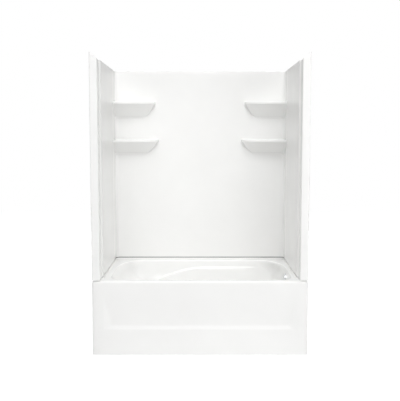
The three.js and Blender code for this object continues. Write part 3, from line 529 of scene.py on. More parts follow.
def lifted(path, heights):
    """An upright sheet: every row repeats a plan path at a height of its own for each point."""
    rows, columns = heights.shape
    points = np.empty((rows, columns, 3))
    points[..., :2] = path[None]
    points[..., 2] = heights
    return points


# Tub


# Depths at which the rim's patch ends, the ledge starts, the deck's front corners end and the sheet ends
RIM_END = 0.028
LEDGE_START = 0.088
FRONT_CORNER_DEPTH = 0.075
SHEET_BACK = 0.9362
# How far the sheet and the deck's front corners reach to each side
SHEET_REACH = 0.757
FRONT_REACH = 0.742


class Basin:
    """The basin's shape. In plan it has straight sides and bowed ends, x = end - length + length * c^(2/p)
    and y = middle + half * s^(2/p), where c and s are the cosine and sine of a station's angle. Its ends
    tighten and its sides slope inwards on the way down, and the backrest leans most."""

    END_LENGTH = 0.198
    LOWER_END_LENGTH = 0.12
    BLEND_DEPTH = 0.1
    POWERS = (6.0, 2.3, 3.0)
    SIDE_SLOPE = 0.16
    DRAIN_SLOPE = 0.12
    BACKREST_SLOPE = 0.5
    BACKREST_EXTRA = 0.12
    LEVEL_SETBACK = 0.706
    FALL_SETBACK = 0.2775
    END_SETBACK = 0.1985
    FADE_RUN = 0.139
    END_POWER = 7.0
    ROLL_POWER = 4.0
    DISH_RADIUS = 0.066
    DISH_FOOT_RADIUS = 0.044
    DISH_DEPTH = 0.003
    HOLE_RADIUS = 0.0245
    OVERFLOW_DROP = 0.0725
    SEAT_RADIUS = 0.04
    SEAT_FADE = 0.016
    SEAT_REACH = 0.06

    def __init__(self):
        self.tub = bpy.context.scene.tub_tub
        self.top = bpy.context.scene.tub_frame.deck_top
        tub = self.tub
        self.middle = (tub.basin_front + tub.basin_back) / 2
        self.half = (tub.basin_back - tub.basin_front) / 2
        # The stations run round the drain end, along the back, round the backrest end and along the front.
        # kind is 1 and -1 at the ends and 0 between them, where share is the place along the side.
        quarter = np.linspace(0.0, 1.0, 49)
        eased = quarter**2 / (quarter**2 + (1.0 - quarter) ** 2) * math.pi / 2
        angles = np.concatenate([-eased[:0:-1], eased])
        straight = np.linspace(0.0, 1.0, 42)[1:-1]
        none = np.zeros_like(straight)
        self.kind = np.concatenate([angles * 0 + 1, none, angles * 0 - 1, none])
        self.along = np.concatenate([np.cos(angles), none, np.cos(angles), none])
        self.across = np.concatenate([np.sin(angles), none + 1, -np.sin(angles), none - 1])
        self.share = np.concatenate([angles * 0, straight, angles * 0, 1 - straight])

    def plan(self, z, inset=0.0):
        """Plan position of every station at heights z, drawn in by an inset."""
        tub = self.tub
        down = self.top - z
        depth_share = down / (self.top - tub.floor)
        blend = smooth(down / self.BLEND_DEPTH)
        end = mix(self.END_LENGTH, self.LOWER_END_LENGTH, blend)
        right = tub.basin_right - self.DRAIN_SLOPE * down - inset
        left = -tub.basin_left + self.BACKREST_SLOPE * down + self.BACKREST_EXTRA * depth_share**2 + inset
        half = self.half - self.SIDE_SLOPE * down - inset
        front_power, back_power, lower_power = self.POWERS
        power = mix(np.where(self.across < 0, front_power, back_power), lower_power, blend)
        bow = end * np.maximum(self.along, 0.0) ** (2.0 / power)
        straight = mix(right - end, left + end, self.share)
        x = np.where(self.kind > 0, right - end + bow, np.where(self.kind < 0, left + end - bow, straight))
        reach = np.sign(self.across) * np.abs(self.across) ** (2.0 / power)
        return x, self.middle + half * reach, reach, (right - x) / (right - left)

    def armrest_line(self, x):
        """Height of the armrest's edge: level along the side, then falling as a parabola to the backrest."""
        tub = self.tub
        start = self.LEVEL_SETBACK - tub.basin_left
        run = np.maximum(0.0, start - x) / (self.LEVEL_SETBACK - self.FALL_SETBACK)
        lowest = tub.floor + tub.fillet + tub.armrest_round
        return np.maximum(self.top - tub.armrest_drop - tub.armrest_fall * run**2, lowest)

    def armrest(self, x, z, reach):
        """How far the wall under the armrest stands in."""
        tub = self.tub
        fade = smooth((tub.basin_right - self.END_SETBACK - x) / self.FADE_RUN)
        step = smooth((self.armrest_line(x) - z) / tub.armrest_round)
        return tub.armrest_depth * fade * step * np.sign(reach) * np.abs(reach) ** self.END_POWER

    def wall(self, z, inset=0.0, tilt=0.0):
        """Points of every station at heights z."""
        x, y, reach, slope = self.plan(z, inset)
        return np.stack([x, y - self.armrest(x, z, reach), z + tilt * slope], axis=-1)

    def rim(self, angle):
        """The rim's roll at an angle from 0, level, to a right angle, upright: a quarter ellipse along the
        plan's normal, tight at the back and ends and broad along the front."""
        tub = self.tub
        edge = self.wall(np.full_like(self.across, self.top))
        run = np.roll(edge, -1, axis=0) - np.roll(edge, 1, axis=0)
        normal = np.stack([run[:, 1], -run[:, 0], 0 * run[:, 0]], axis=-1)
        normal /= np.linalg.norm(normal, axis=1)[:, None]
        broad = np.maximum(0.0, -self.across) ** self.ROLL_POWER
        out = mix(tub.roll, tub.front_roll_width, broad) * (1 - math.sin(angle))
        down = mix(tub.roll, tub.front_roll_height, broad) * (1 - math.cos(angle))
        edge = edge + normal * out[:, None]
        edge[:, 2] -= down
        return edge


def overflow_axis(basin):
    """Direction of the overflow's axis, square to the drain end's wall, and its place on that wall."""
    drop = basin.OVERFLOW_DROP
    angle = math.atan(basin.DRAIN_SLOPE)
    axis = np.array([-math.cos(angle), 0.0, math.sin(angle)])
    return axis, np.array([basin.tub.basin_right - basin.DRAIN_SLOPE * drop, basin.middle, basin.top - drop])


def with_overflow_seat(basin, points):
    """Flattens the end wall round the overflow: points within the seat move along its axis to its plane."""
    axis, centre = overflow_axis(basin)
    away = (points - centre) @ axis
    radius = np.linalg.norm(points - centre - away[..., None] * axis, axis=-1)
    hold = 1 - smooth((radius - basin.SEAT_RADIUS) / basin.SEAT_FADE)
    near = (np.abs(away) < basin.SEAT_REACH) & (away > 0)
    return points - (away * hold * near)[..., None] * axis


def deck_outline(basin, rim):
    """The deck's outer edge: each station of the rim is carried straight out from the basin's middle to the
    edge of the sheet, and the stations nearest to its four corners are set on them."""
    middle = np.array([0.0, basin.middle])
    away = rim[:, :2] - middle
    reach = np.where(rim[:, 1] < FRONT_CORNER_DEPTH, FRONT_REACH, SHEET_REACH)
    low = (basin.middle - RIM_END) / np.maximum(-away[:, 1], TINY)
    high = (SHEET_BACK - basin.middle) / np.maximum(away[:, 1], TINY)
    wide = reach / np.maximum(np.abs(away[:, 0]), TINY)
    stretch = np.minimum(wide, np.where(away[:, 1] < 0, low, high))
    outer = np.column_stack([middle + away * stretch[:, None], np.full(len(away), basin.top)])
    for side in (-1, 1):
        for depth, corner_reach in ((RIM_END, FRONT_REACH), (SHEET_BACK, SHEET_REACH)):
            corner = np.array([side * corner_reach, depth])
            outer[np.argmin(np.linalg.norm(outer[:, :2] - corner, axis=1)), :2] = corner
    return outer


def floor_rings(basin, edge):
    """The floor from the fillet's foot to the drain's hole: straight towards the drain, then down an S into
    the dish round the strainer, and level to the hole."""
    tub = basin.tub
    drain = np.array([tub.basin_right - tub.drain_setback, basin.middle])
    spokes = edge[:, :2] - drain
    spokes /= np.linalg.norm(spokes, axis=1)[:, None]
    rings = []
    for value in np.linspace(0.0, 1.0, 9)[1:]:
        flat = mix(edge[:, :2], drain + spokes * basin.DISH_RADIUS, value)
        rise = tub.floor_fall * np.clip((edge[:, 0].max() - flat[:, 0]) / np.ptp(edge[:, 0]), 0, 1)
        rings.append(np.column_stack([flat, tub.floor + rise]))
    rim_height = rings[-1][:, 2]
    dish_height = tub.floor - basin.DISH_DEPTH
    for radius in np.linspace(basin.DISH_RADIUS, basin.DISH_FOOT_RADIUS, 8)[1:]:
        drop = smooth((basin.DISH_RADIUS - radius) / (basin.DISH_RADIUS - basin.DISH_FOOT_RADIUS))
        rings.append(np.column_stack([drain + spokes * radius, mix(rim_height, dish_height, drop)]))
    rings.append(np.column_stack([drain + spokes * basin.HOLE_RADIUS, np.full(len(edge), dish_height)]))
    return rings


def basin_patch(basin):
    """Deck, rim roll, walls, fillet, floor and drain dish, as rings of stations from the deck's outer edge
    to the drain's hole."""
    tub = basin.tub
    first = basin.rim(0.0)
    outer = deck_outline(basin, first)
    deck = [mix(outer, first, value) for value in np.linspace(0.0, 1.0, 5)[:-1]]
    rolls = [basin.rim(angle) for angle in np.linspace(0.0, math.pi / 2, 11)]
    start = basin.top - tub.front_roll_height
    line = basin.armrest_line(basin.plan(np.full_like(basin.across, start))[0])
    fillet_top = tub.floor + tub.fillet
    heights = [mix(start, line, value) for value in np.linspace(0.0, 1.0, 8)[:-1]]
    heights += [line - tub.armrest_round * value for value in np.linspace(0.0, 1.0, 11)]
    heights += [mix(line - tub.armrest_round, fillet_top, value) for value in np.linspace(0.0, 1.0, 13)[1:]]
    walls = [basin.wall(height) for height in heights]
    fillets = [
        basin.wall(
            np.full_like(line, fillet_top - tub.fillet * math.sin(angle)),
            tub.fillet * (1 - math.cos(angle)),
            tub.floor_fall * math.sin(angle),
        )
        for angle in np.linspace(0.0, math.pi / 2, 15)[1:]
    ]
    rings = np.stack([*deck, *rolls, *walls, *fillets, *floor_rings(basin, fillets[-1])])
    return grid(with_overflow_seat(basin, rings), closed=True)


def recess_depth(x, z):
    """Depth of the apron's panel: a sloped ledge at its foot, a slow S up to nothing at its top, and sides
    of one slope, which narrow as the depth runs out."""
    tub = bpy.context.scene.tub_tub
    edge = bpy.context.scene.tub_frame.half_width - tub.recess_margin
    bottom, ledge, fade = tub.recess_ledge_bottom, tub.recess_ledge_top, tub.recess_fade
    rise = np.clip((z - bottom) / (ledge - bottom), 0.0, 1.0)
    run_out = 1 - smooth((z - ledge) / (fade - ledge))
    side = np.clip((edge - np.abs(x)) / tub.recess_side_run, 0.0, 1.0)
    return tub.recess_depth * np.minimum(rise * run_out, side)


def softened(x, z, reach=0.007):
    """The recess's depth averaged over a small square, which rounds its edges."""
    steps = np.linspace(-reach, reach, 7)
    return sum(recess_depth(x + dx, z + dz) for dx in steps for dz in steps) / len(steps) ** 2


def run_back(edge, depth, count):
    """Rows of points from an edge straight back to a depth. Every row repeats the edge."""
    far = edge.copy()
    far[:, 1] = depth
    return edge[None] + (far - edge)[None] * np.linspace(0.0, 1.0, count)[:, None, None]


def apron_patches():
    """The apron's face with its rounded rim, in rows up the face and over the rim, and a plate at each end.
    The ends bend back as a quarter ellipse, and the top corners fall as a quarter circle."""
    unit = bpy.context.scene.tub_frame
    half, top = unit.half_width, unit.deck_top
    bend_run = bpy.context.scene.tub_tub.apron_bend
    bend_depth, end_depth = 0.009, 0.06
    rim_depth, rim_height = 0.022, 0.016
    corner, fall_start, fall_run = 0.02, 0.06, 0.04
    # Columns lie closer together over the recess's sides, and rows over its ledge
    fine_run = 0.15
    bend = half - bend_run * (1 - np.sin(np.linspace(0.0, math.pi / 2, 12)))
    middle = np.linspace(0.0, half - fine_run, 36)
    edges = np.linspace(half - fine_run, half - bend_run, 60)[1:-1]
    reach = np.concatenate([middle, edges, bend])
    x = np.concatenate([-reach[:0:-1], reach])
    below, ledge, panel = (0.0, 0.172, 8), (0.174, 0.226, 27), (0.232, top - 0.05, 22)
    last = (top - 0.045, top - rim_height, 6)
    face = np.concatenate([np.linspace(*rows) for rows in (below, ledge, panel, last)])[:-1]
    angle = np.linspace(0.0, math.pi / 2, 14)
    y = np.concatenate([face * 0, rim_depth * (1 - np.cos(angle)), [RIM_END]])
    z = np.concatenate([face, top - rim_height * (1 - np.sin(angle)), [top]])
    fall_share = smooth((z - (top - fall_start)) / fall_run)
    over = np.clip((np.abs(x) - (half - corner)) / corner, 0.0, 1.0)
    fall = corner * (1 - np.sqrt(1 - over**2))
    side = np.clip((np.abs(x) - (half - bend_run)) / bend_run, 0.0, 1.0)
    back = bend_depth * (1 - np.sqrt(1 - side**2))
    level = np.clip(1 - y / rim_depth, 0.0, 1.0)
    points = np.empty((len(z), len(x), 3))
    points[..., 0] = x[None]
    points[..., 1] = y[:, None] + back[None] * level[:, None] + softened(x[None], z[:, None])
    points[..., 2] = z[:, None] - fall[None] * fall_share[:, None]
    patches = [grid(points)]
    for column in (0, -1):
        plate = run_back(points[:, column], end_depth, 7).swapaxes(0, 1)
        patches.append(grid(plate, flip=column == 0))
    for side_sign in (-1, 1):
        columns = np.abs(x - side_sign * half) <= corner + TINY
        patches.append(grid(run_back(points[-1, columns], LEDGE_START, 5)))
    return patches


def ledge_patch():
    """The low ledge round three sides of the deck, which carries the walls: a rounded edge along its inner
    path, then flat to the sheet's edge."""
    unit = bpy.context.scene.tub_frame
    setback, corner_round, round_edge, run_out, sunk = 0.006, 0.018, 0.003, 0.05, 0.002
    inside = unit.half_width - unit.wall_inset - setback
    back = unit.alcove_depth - setback
    right = [(inside, LEDGE_START, 0), (inside, back, corner_round)]
    left = [(-inside, back, corner_round), (-inside, LEDGE_START, 0)]
    path = resampled(rounded_path(right + left, 14), 0.06)
    normal = -normals_of(path)
    angle = np.linspace(0.0, math.pi / 2, 6)
    out = np.concatenate([[0.0], round_edge * (1 - np.cos(angle)), [run_out]])
    low = unit.deck_top - sunk
    high = unit.deck_top + unit.ledge_rise
    rise = np.concatenate([[low], high - round_edge * (1 - np.sin(angle)), [high]])
    points = np.empty((len(out), len(path), 3))
    points[..., :2] = path[None] + normal[None] * out[:, None, None]
    points[..., 2] = rise[:, None]
    points[..., 0] = np.clip(points[..., 0], -SHEET_REACH, SHEET_REACH)
    points[..., 1] = np.minimum(points[..., 1], SHEET_BACK)
    ends = points[:, [0, -1]].copy()
    ends[..., 2] = low
    return grid(np.concatenate([ends[:, :1], points, ends[:, 1:]], axis=1), flip=True)


class MakeTub(bpy.types.Operator):
    """Build the tub: deck, rim, basin and apron"""

    bl_idname = "tub_unit.make_tub"
    bl_label = "Tub"

    def execute(self, context):
        patches = [basin_patch(Basin()), *apron_patches(), ledge_patch()]
        skin("tub", patches, "gelcoat", ["tub_shell"], wall=context.scene.tub_tub.sheet)
        return {"FINISHED"}


# Walls


# Reach of the flanges in the upright joints, the rounding of their edges, and the cove over a shelf
JOINT_FLANGE = 0.028
JOINT_ROUND = 0.003
TOP_COVE = 0.01


def wall_ends():
    """Heights of the foot and the top of the wall sheets."""
    unit = bpy.context.scene.tub_frame
    foot = unit.deck_top + unit.ledge_rise + unit.deck_gap
    return foot, unit.height - bpy.context.scene.tub_walls.wall_drop


def side_wall_patches(side):
    """One side wall: lip, flange, step and wall as one plan path with round bends, lifted between a foot
    and a head that change along the path, and a flat turn outwards at the foot and the head."""
    unit = bpy.context.scene.tub_frame
    walls = bpy.context.scene.tub_walls
    half = unit.half_width
    face = half - unit.wall_inset
    inner = half - walls.flange
    joint = unit.alcove_depth - walls.corner_leg - unit.gap
    lip, bend, step_run = 0.022, 0.006, 0.012
    corners = [
        (half, lip, 0),
        (half, 0.0, bend),
        (inner, 0.0, bend),
        (inner, walls.return_depth, bend),
        (face, walls.return_depth + step_run, bend),
        (face, joint, JOINT_ROUND),
        (face + JOINT_FLANGE, joint, 0),
    ]
    path = resampled(rounded_path(corners), 0.02)
    x, y = path.T
    wall_foot, wall_top = wall_ends()
    slanted = unit.height - walls.slant * np.clip((half - x) / walls.flange, 0.0, 1.0)
    # The head drops to the wall's top just behind the flange, and the foot rises to it just before the step
    head_start, head_run, lip_width = 0.016, 0.01, 0.03
    foot_start, foot_run = 0.084, 0.004
    head = mix(slanted, wall_top, smooth((y - head_start) / head_run) * (x < half - lip_width))
    foot = mix(unit.deck_top + unit.gap, wall_foot, smooth((y - foot_start) / foot_run))
    rise = np.linspace(0.0, 1.0, 30)[:, None]
    sheets = [(lifted(path, foot[None] + (head - foot)[None] * rise), False)]
    after_step, before_joint = 0.02, 0.004
    edge = path[(y > walls.return_depth + after_step) & (y < joint - before_joint)]
    for height, reach, faces_down in ((wall_foot, SHEET_REACH, True), (wall_top, face + JOINT_FLANGE, False)):
        points = np.empty((4, len(edge), 3))
        points[..., 0] = edge[:, 0] + np.linspace(0.0, reach - face, 4)[:, None]
        points[..., 1] = edge[:, 1]
        points[..., 2] = height
        sheets.append((points, faces_down))
    mirror = np.array([side, 1.0, 1.0])
    return [grid(points * mirror, flip=(side > 0) != faces_down) for points, faces_down in sheets]


class MakeSideWalls(bpy.types.Operator):
    """Build both side walls with their flanges"""

    bl_idname = "tub_unit.make_side_walls"
    bl_label = "Side Walls"

    def execute(self, context):
        sheet = context.scene.tub_walls.sheet
        for name, side in (("left", -1), ("right", 1)):
            skin(f"{name}_wall_sheet", side_wall_patches(side), "gelcoat", [f"{name}_wall"], wall=sheet)
        return {"FINISHED"}


def shelf_rows(top, height, run, depth, lip):
    """Rows of one shelf from its top cove down to its bottom cove. Each row has a height, the plan's length
    and depth, the share of the way out to that plan, and a distance that the fillets add to that way. Under
    the lip the plan draws in with the sine and the versed sine of an angle, to a hollow foot."""
    edge, under, low_edge, bottom_cove, foot_rise = 0.004, 0.007, 0.002, 0.026, 0.006
    run_narrows, run_rounds, depth_narrows, depth_rounds = 0.15, 0.08, 0.7, 0.1
    cove = TOP_COVE
    plan = (run, depth)
    quarter = np.linspace(0.0, math.pi / 2, 7)
    rows = [(top + cove * (1 - math.sin(a)), *plan, 0.0, cove * (1 - math.cos(a))) for a in quarter]
    rows += [(top, *plan, value, cove - value * (cove + edge)) for value in (0.3, 0.6, 0.85)]
    rows += [(top - edge * (1 - math.cos(a)), *plan, 1.0, -edge * (1 - math.sin(a))) for a in quarter]
    foot = top - lip
    for a in quarter:
        rows.append((foot + low_edge * (1 - math.sin(a)), *plan, 1.0, -low_edge * (1 - math.cos(a))))
    rows.append((foot, run - under, depth - under, 1.0, 0.0))
    low = top - height + foot_rise
    for angle in np.linspace(0.0, math.pi / 2, 14)[1:]:
        down, round_in = math.sin(angle), 1 - math.cos(angle)
        plan = (
            (run - under) * (1 - run_narrows * down - run_rounds * round_in),
            (depth - under) * (1 - depth_narrows * down - depth_rounds * round_in),
        )
        rows.append((mix(foot, low, down), *plan, 1.0, 0.0))
    for value in np.linspace(0.0, 1.0, 10)[1:]:
        rows.append((low - bottom_cove * value, *plan, (1 - value) ** 2, 0.0))
    return rows


def back_wall_rows():
    """All rows of the back wall from its top to its foot, as columns: heights, the shelf plan's length and
    depth, the share and the distance on the way out to that plan, and how far the sheet turns back."""
    walls = bpy.context.scene.tub_walls
    wall_foot, wall_top = wall_ends()
    depth = walls.shelf_projection
    edge, turn = 0.004, 0.0232
    quarter = np.linspace(0.0, math.pi / 2, 6)
    plain = (walls.upper_shelf_run, depth, 0.0, 0.0)
    rows = [(wall_top, *plain, turn)]
    rows += [(wall_top - edge * (1 - math.cos(a)), *plain, edge * (1 - math.sin(a))) for a in quarter]
    rows += [(z, *plain, 0.0) for z in np.linspace(wall_top - edge, walls.upper_shelf + TOP_COVE, 6)[1:-1]]
    # Each shelf's top, height and length, then where the wall below it ends and the number of rows there
    upper = (walls.upper_shelf, walls.upper_shelf_height, walls.upper_shelf_run)
    lower = (walls.lower_shelf, walls.lower_shelf_height, walls.lower_shelf_run)
    for shelf, end, count in ((upper, walls.lower_shelf + TOP_COVE, 8), (lower, wall_foot + edge, 18)):
        rows += [(*row, 0.0) for row in shelf_rows(*shelf, depth, walls.shelf_lip)]
        z, last_run, last_depth = rows[-1][:3]
        for value in np.linspace(0.0, 1.0, count)[1:-1]:
            plan = (mix(last_run, walls.lower_shelf_run, value), mix(last_depth, depth, value))
            rows.append((mix(z, end, value), *plan, 0.0, 0.0, 0.0))
    final = (walls.lower_shelf_run, depth, 0.0, 0.0)
    rows += [(wall_foot + edge * (1 - math.sin(a)), *final, edge * (1 - math.cos(a))) for a in quarter]
    rows.append((wall_foot, *final, turn))
    return [np.array(values)[:, None] for values in zip(*rows)]


def shelf_stations(run, reach, share_out, slide, outward):
    """Places of the stations round a corner in plan, a along the back and b along the side, both measured
    from the corner. The wall's own path is straight, an arc and straight. A shelf's plan is
    a = run * sin^(2/p) and b = reach * cos^(2/p) of a station's angle, and each station moves on a straight
    line from the path towards that plan."""
    power, crowding, evenness, ease_run = 2.6, 1.5, 0.6, 0.03
    radius = bpy.context.scene.tub_walls.corner_round
    value = np.linspace(0.0, 1.0, 65)[None]
    angle = value**crowding / (value**crowding + (1 - value) ** crowding) * math.pi / 2
    out_a = run * np.sin(angle) ** (2 / power)
    out_b = reach * np.cos(angle) ** (2 / power)
    arc = radius * math.pi / 2
    total = (reach - radius) + arc + (run - radius)
    along = total * mix(angle / (math.pi / 2), out_a / run, evenness)
    turned = np.clip((along - (reach - radius)) / arc, 0.0, 1.0) * math.pi / 2
    base_a = radius * (1 - np.cos(turned)) + np.maximum(0.0, along - (reach - radius) - arc)
    base_b = radius * (1 - np.sin(turned)) + np.maximum(0.0, reach - radius - along)
    way_a, way_b = out_a - base_a, out_b - base_b
    distance = np.maximum(np.hypot(way_a, way_b), TINY)
    eased = np.minimum(1.0, distance / ease_run)
    pull = np.clip(share_out * distance + slide * eased, 0.0, distance) / distance
    return base_a + way_a * pull - np.cos(turned) * outward, base_b + way_b * pull - np.sin(turned) * outward


def back_wall_patch():
    """The back wall as one grid. Its plan path runs from the joint's flange round its bend, along the side,
    round the corner with its shelves and to the middle, and the other half mirrors it."""
    unit = bpy.context.scene.tub_frame
    leg = bpy.context.scene.tub_walls.corner_leg
    face = unit.half_width - unit.wall_inset
    z, run, reach, share_out, slide, outward = back_wall_rows()
    flange = np.linspace(JOINT_FLANGE, JOINT_ROUND, 4)[:-1][None]
    bend = np.linspace(0.0, math.pi / 2, 6)[None]
    side = np.linspace(0.0, 1.0, 6)[1:-1][None]
    middle = np.linspace(0.0, 1.0, 26)[1:][None]
    bend_round = JOINT_ROUND - outward
    parts = [
        (-flange, leg - outward),
        (-JOINT_ROUND + bend_round * np.sin(bend), leg - JOINT_ROUND + bend_round * np.cos(bend)),
        (-outward, mix(leg - JOINT_ROUND, reach, side)),
        shelf_stations(run, reach, share_out, slide, outward),
        (mix(run, face, middle), -outward),
    ]
    plan_a, plan_b = (np.hstack(way) for way in zip(*(np.broadcast_arrays(*part) for part in parts)))
    height = np.broadcast_to(z, plan_a.shape)
    half = np.stack([face - plan_a, unit.alcove_depth - plan_b, height], axis=-1)
    other = half[:, -2::-1] * np.array([-1.0, 1.0, 1.0])
    return grid(np.concatenate([half, other], axis=1))


class MakeBackWall(bpy.types.Operator):
    """Build the back wall with its four shelves"""

    bl_idname = "tub_unit.make_back_wall"
    bl_label = "Back Wall"

    def execute(self, context):
        sheet = context.scene.tub_walls.sheet
        skin("back_wall_sheet", [back_wall_patch()], "gelcoat", ["back_wall"], wall=sheet)
        return {"FINISHED"}


# Seals, clips and timber


class MakeBacking(bpy.types.Operator):
    """Build the seals, clips, battens, bearers and base board"""

    bl_idname = "tub_unit.make_backing"
    bl_label = "Seals, Clips and Timber"

    def execute(self, context):
        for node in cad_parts:
            if node.endswith("_seal") and node != "stopper_seal":
                eased_copy(node, "seal", 0.0005)
            elif "_clip_" in node:
                eased_copy(node, "steel", 0.0003)
            elif node.endswith("bearer") or ("batten" in node and node.startswith(("left_", "right_"))):
                eased_copy(node, "timber", 0.002, along="Y")
            elif "batten" in node or node == "base_board":
                eased_copy(node, "timber", 0.002)
        return {"FINISHED"}


# Waste and overflow set


def revolve(profile, axis, centre, count=72):
    """A turned surface: each profile point, a radius and a height, carried round an axis of unit length
    through a centre. The axis is square to Y."""
    radius, height = profile.T
    axis = np.array(axis, dtype=float)
    first = np.cross([0.0, 1.0, 0.0], axis)
    second = np.cross(axis, first)
    angle = np.linspace(0.0, 2 * math.pi, count, endpoint=False)[None, :, None]
    spoke = np.cos(angle) * first + np.sin(angle) * second
    points = np.array(centre) + spoke * radius[:, None, None] + axis * height[:, None, None]
    return grid(points, closed=True)


def overflow_cap(basin):
    """The overflow cover: a flat round cap with a rounded edge and a plain skirt down to the wall. Each
    corner of its profile is a radius, a height and the arc's own radius."""
    corners = [
        (0.0, 0.009, 0),
        (0.034, 0.009, 0.003),
        (0.035, 0.0003, 0),
        (0.038, 0.0003, 0.0004),
        (0.038, 0.012, 0.005),
        (0.0, 0.0128, 0),
    ]
    return revolve(rounded_path(corners, 6), *overflow_axis(basin))


def stopper_cap(basin):
    """The stopper: a low dome with a rounded edge on a short hub. Each corner of its profile is a radius, a
    height above the dome's foot and the arc's own radius."""
    dome_height = 0.007
    corners = [
        (0.0, -0.022, 0),
        (0.008, -0.022, 0.001),
        (0.008, 0.0, 0.001),
        (0.026, 0.0, 0.0008),
        (0.026, 0.003, 0.0012),
        (0.02, 0.0058, 0.02),
        (0.0, dome_height, 0),
    ]
    low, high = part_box("drain_stopper")
    foot = ((low.x + high.x) / 2, basin.middle, high.z - dome_height)
    return revolve(rounded_path(corners, 5), (0, 0, 1), foot)


class MakeWaste(bpy.types.Operator):
    """Build the strainer, stopper, overflow cover and the drain pipes"""

    bl_idname = "tub_unit.make_waste"
    bl_label = "Waste and Overflow"

    def execute(self, context):
        basin = Basin()
        skin("overflow_cap", [overflow_cap(basin)], "chrome", ["overflow_cover"], sharp=50.0)
        skin("stopper_cap", [stopper_cap(basin)], "chrome", ["drain_stopper"], "stopper")
        for node in ("drain_strainer", "stopper_post", "overflow_screw_upper", "overflow_screw_lower"):
            eased_copy(node, "chrome", 0.0)
        eased_copy("stopper_seal", "rubber", 0.0004, "stopper")
        for node in ("drain_washer", "overflow_washer"):
            eased_copy(node, "rubber", 0.0)
        pipes = ("drain_shoe", "waste_pipe", "waste_tee", "tailpiece", "overflow_pipe", "overflow_elbow")
        nuts = ("shoe_nut", "tee_inlet_nut", "tee_top_nut", "tee_bottom_nut", "elbow_nut")
        for node in (*pipes, *nuts):
            eased_copy(node, "pipe", 0.0)
        return {"FINISHED"}


# Stage


# All lamps face this point. Each has a name, a place, a width in metres and a power in watts.
LAMP_TARGET = Vector((0.0, 0.0, 1.0))
LAMPS = (
    ("front_lamp", (0.0, -5.0, 6.0), 4.0, 270.0),
    ("top_lamp", (0.0, -0.2, 7.5), 2.0, 88.0),
    ("right_lamp", (3.5, -5.6, 1.25), 2.8, 78.0),
    ("left_lamp", (-3.5, -5.6, 1.25), 2.8, 27.0),
    ("rear_right_lamp", (1.6, 6.0, 1.2), 2.4, 50.0),
    ("rear_left_lamp", (-1.6, 6.0, 1.2), 2.4, 50.0),
)


def area_light(name, place, size, power):
    """A square lamp that faces the unit's middle."""
    lamp = bpy.data.lights.new(name, "AREA")
    lamp.size = size
    lamp.energy = power
    holder = placed(name, lamp)
    holder.location = place
    holder.rotation_euler = (LAMP_TARGET - Vector(place)).to_track_quat("-Z", "Y").to_euler()


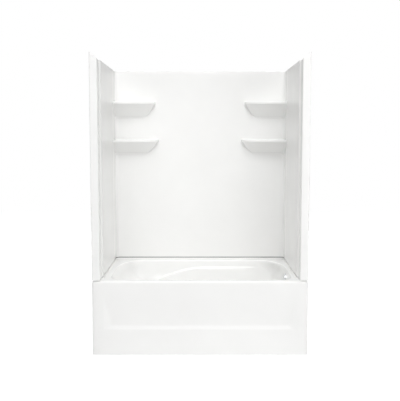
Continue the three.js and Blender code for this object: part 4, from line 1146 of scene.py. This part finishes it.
class MakeStage(bpy.types.Operator):
    """Add the floor, lamps, white surroundings and camera"""

    bl_idname = "tub_unit.make_stage"
    bl_label = "Stage"

    def execute(self, context):
        scene = context.scene
        stage = scene.tub_stage
        self.make_floor()
        scene.world = self.surroundings(stage.fill, stage.sheen)
        for name, place, size, watts in LAMPS:
            area_light(name, place, size, watts * stage.lamps)
        lens = bpy.data.cameras.new("camera")
        lens.sensor_width = 36.0
        lens.sensor_fit = "HORIZONTAL"
        lens.lens = stage.lens
        camera = placed("camera", lens)
        camera.location = (0.0, -scene.tub_frame.front - stage.camera_distance, stage.camera_height)
        camera.rotation_euler = (math.radians(90.0 - stage.camera_pitch), 0.0, 0.0)
        scene.camera = camera
        scene.view_settings.view_transform = "Standard"
        return {"FINISHED"}

    def make_floor(self):
        """A wide flat floor, half a millimetre under the unit."""
        reach, below = 9.0, 0.0005
        sides = np.array([-reach, reach])
        places, faces = grid(np.stack([*np.meshgrid(sides, sides), np.zeros((2, 2))], axis=-1))
        mesh = bpy.data.meshes.new("floor")
        mesh.from_pydata(places, [], faces.tolist())
        floor = placed("floor", mesh)
        floor.location.z = -below
        floor.data.materials.append(self.floor_paint())

    def floor_paint(self):
        """Pale floor that keeps the shadow and runs out to white where the camera sees it."""
        glow_strength, glow_share = 1.32, 0.7
        paint = Paint("floor")
        paint.finish(
            Base_Color=paint.tones(paint.noise(0.7, 3.0), (1.0, 1.0, 1.0), (0.3, 0.9), (0.7, 0.93)),
            Roughness=0.6,
        )
        glow = paint.node("ShaderNodeEmission", None, {"Strength": glow_strength})
        sight = paint.out(paint.node("ShaderNodeLightPath"), "Is Camera Ray")
        values = {0: sight * glow_share, 1: paint.out(paint.shader), 2: paint.out(glow)}
        mixed = paint.node("ShaderNodeMixShader", None, values)
        paint.feed(paint.tree.nodes["Material Output"].inputs["Surface"], paint.out(mixed))
        return paint.owner

    def surroundings(self, fill, sheen):
        """White for the camera and through glass, a level of its own in reflections, and an even fill."""
        nodes = Nodes(bpy.data.worlds.new("surroundings"))
        path = nodes.node("ShaderNodeLightPath")
        seen, through, mirrored = (
            nodes.out(path, f"Is {kind} Ray") for kind in ("Camera", "Transmission", "Glossy")
        )
        level = seen.at_least(through).at_least(mirrored * sheen).at_least(fill)
        background = nodes.tree.nodes["Background"]
        nodes.feed(background.inputs["Strength"], level)
        nodes.feed(background.inputs["Color"], (1.0, 1.0, 1.0, 1.0))
        return nodes.owner


OPERATORS = (MakeTub, MakeBackWall, MakeSideWalls, MakeBacking, MakeWaste, MakeStage)
GROUPS = {
    "tub_frame": TubUnitFrame,
    "tub_tub": TubUnitTub,
    "tub_walls": TubUnitWalls,
    "tub_finish": TubUnitFinish,
    "tub_stage": TubUnitStage,
}


class TubUnitPanel(bpy.types.Panel):
    """Lists the operators and the sizes and colours that they read"""

    bl_idname = "VIEW3D_PT_tub_unit"
    bl_label = "Tub and Shower Unit"
    bl_space_type = "VIEW_3D"
    bl_region_type = "UI"
    bl_category = "Tub Unit"

    def draw(self, context):
        for operator in OPERATORS:
            self.layout.operator(operator.bl_idname)
        for name, group in GROUPS.items():
            box = self.layout.box()
            box.label(text=group.__doc__)
            for key in group.__annotations__:
                box.prop(getattr(context.scene, name), key)


def register():
    for group in GROUPS.values():
        bpy.utils.register_class(group)
    for name, group in GROUPS.items():
        setattr(bpy.types.Scene, name, bpy.props.PointerProperty(type=group))
    for operator in OPERATORS:
        bpy.utils.register_class(operator)
    bpy.utils.register_class(TubUnitPanel)


def unregister():
    bpy.utils.unregister_class(TubUnitPanel)
    for operator in reversed(OPERATORS):
        bpy.utils.unregister_class(operator)
    for name, group in reversed(GROUPS.items()):
        delattr(bpy.types.Scene, name)
        bpy.utils.unregister_class(group)


def main():
    """Registers the classes and runs the operators in order."""
    register()
    bpy.ops.tub_unit.make_stage()
    bpy.ops.tub_unit.make_tub()
    bpy.ops.tub_unit.make_back_wall()
    bpy.ops.tub_unit.make_side_walls()
    bpy.ops.tub_unit.make_backing()
    bpy.ops.tub_unit.make_waste()


if __name__ == "__main__":
    main()
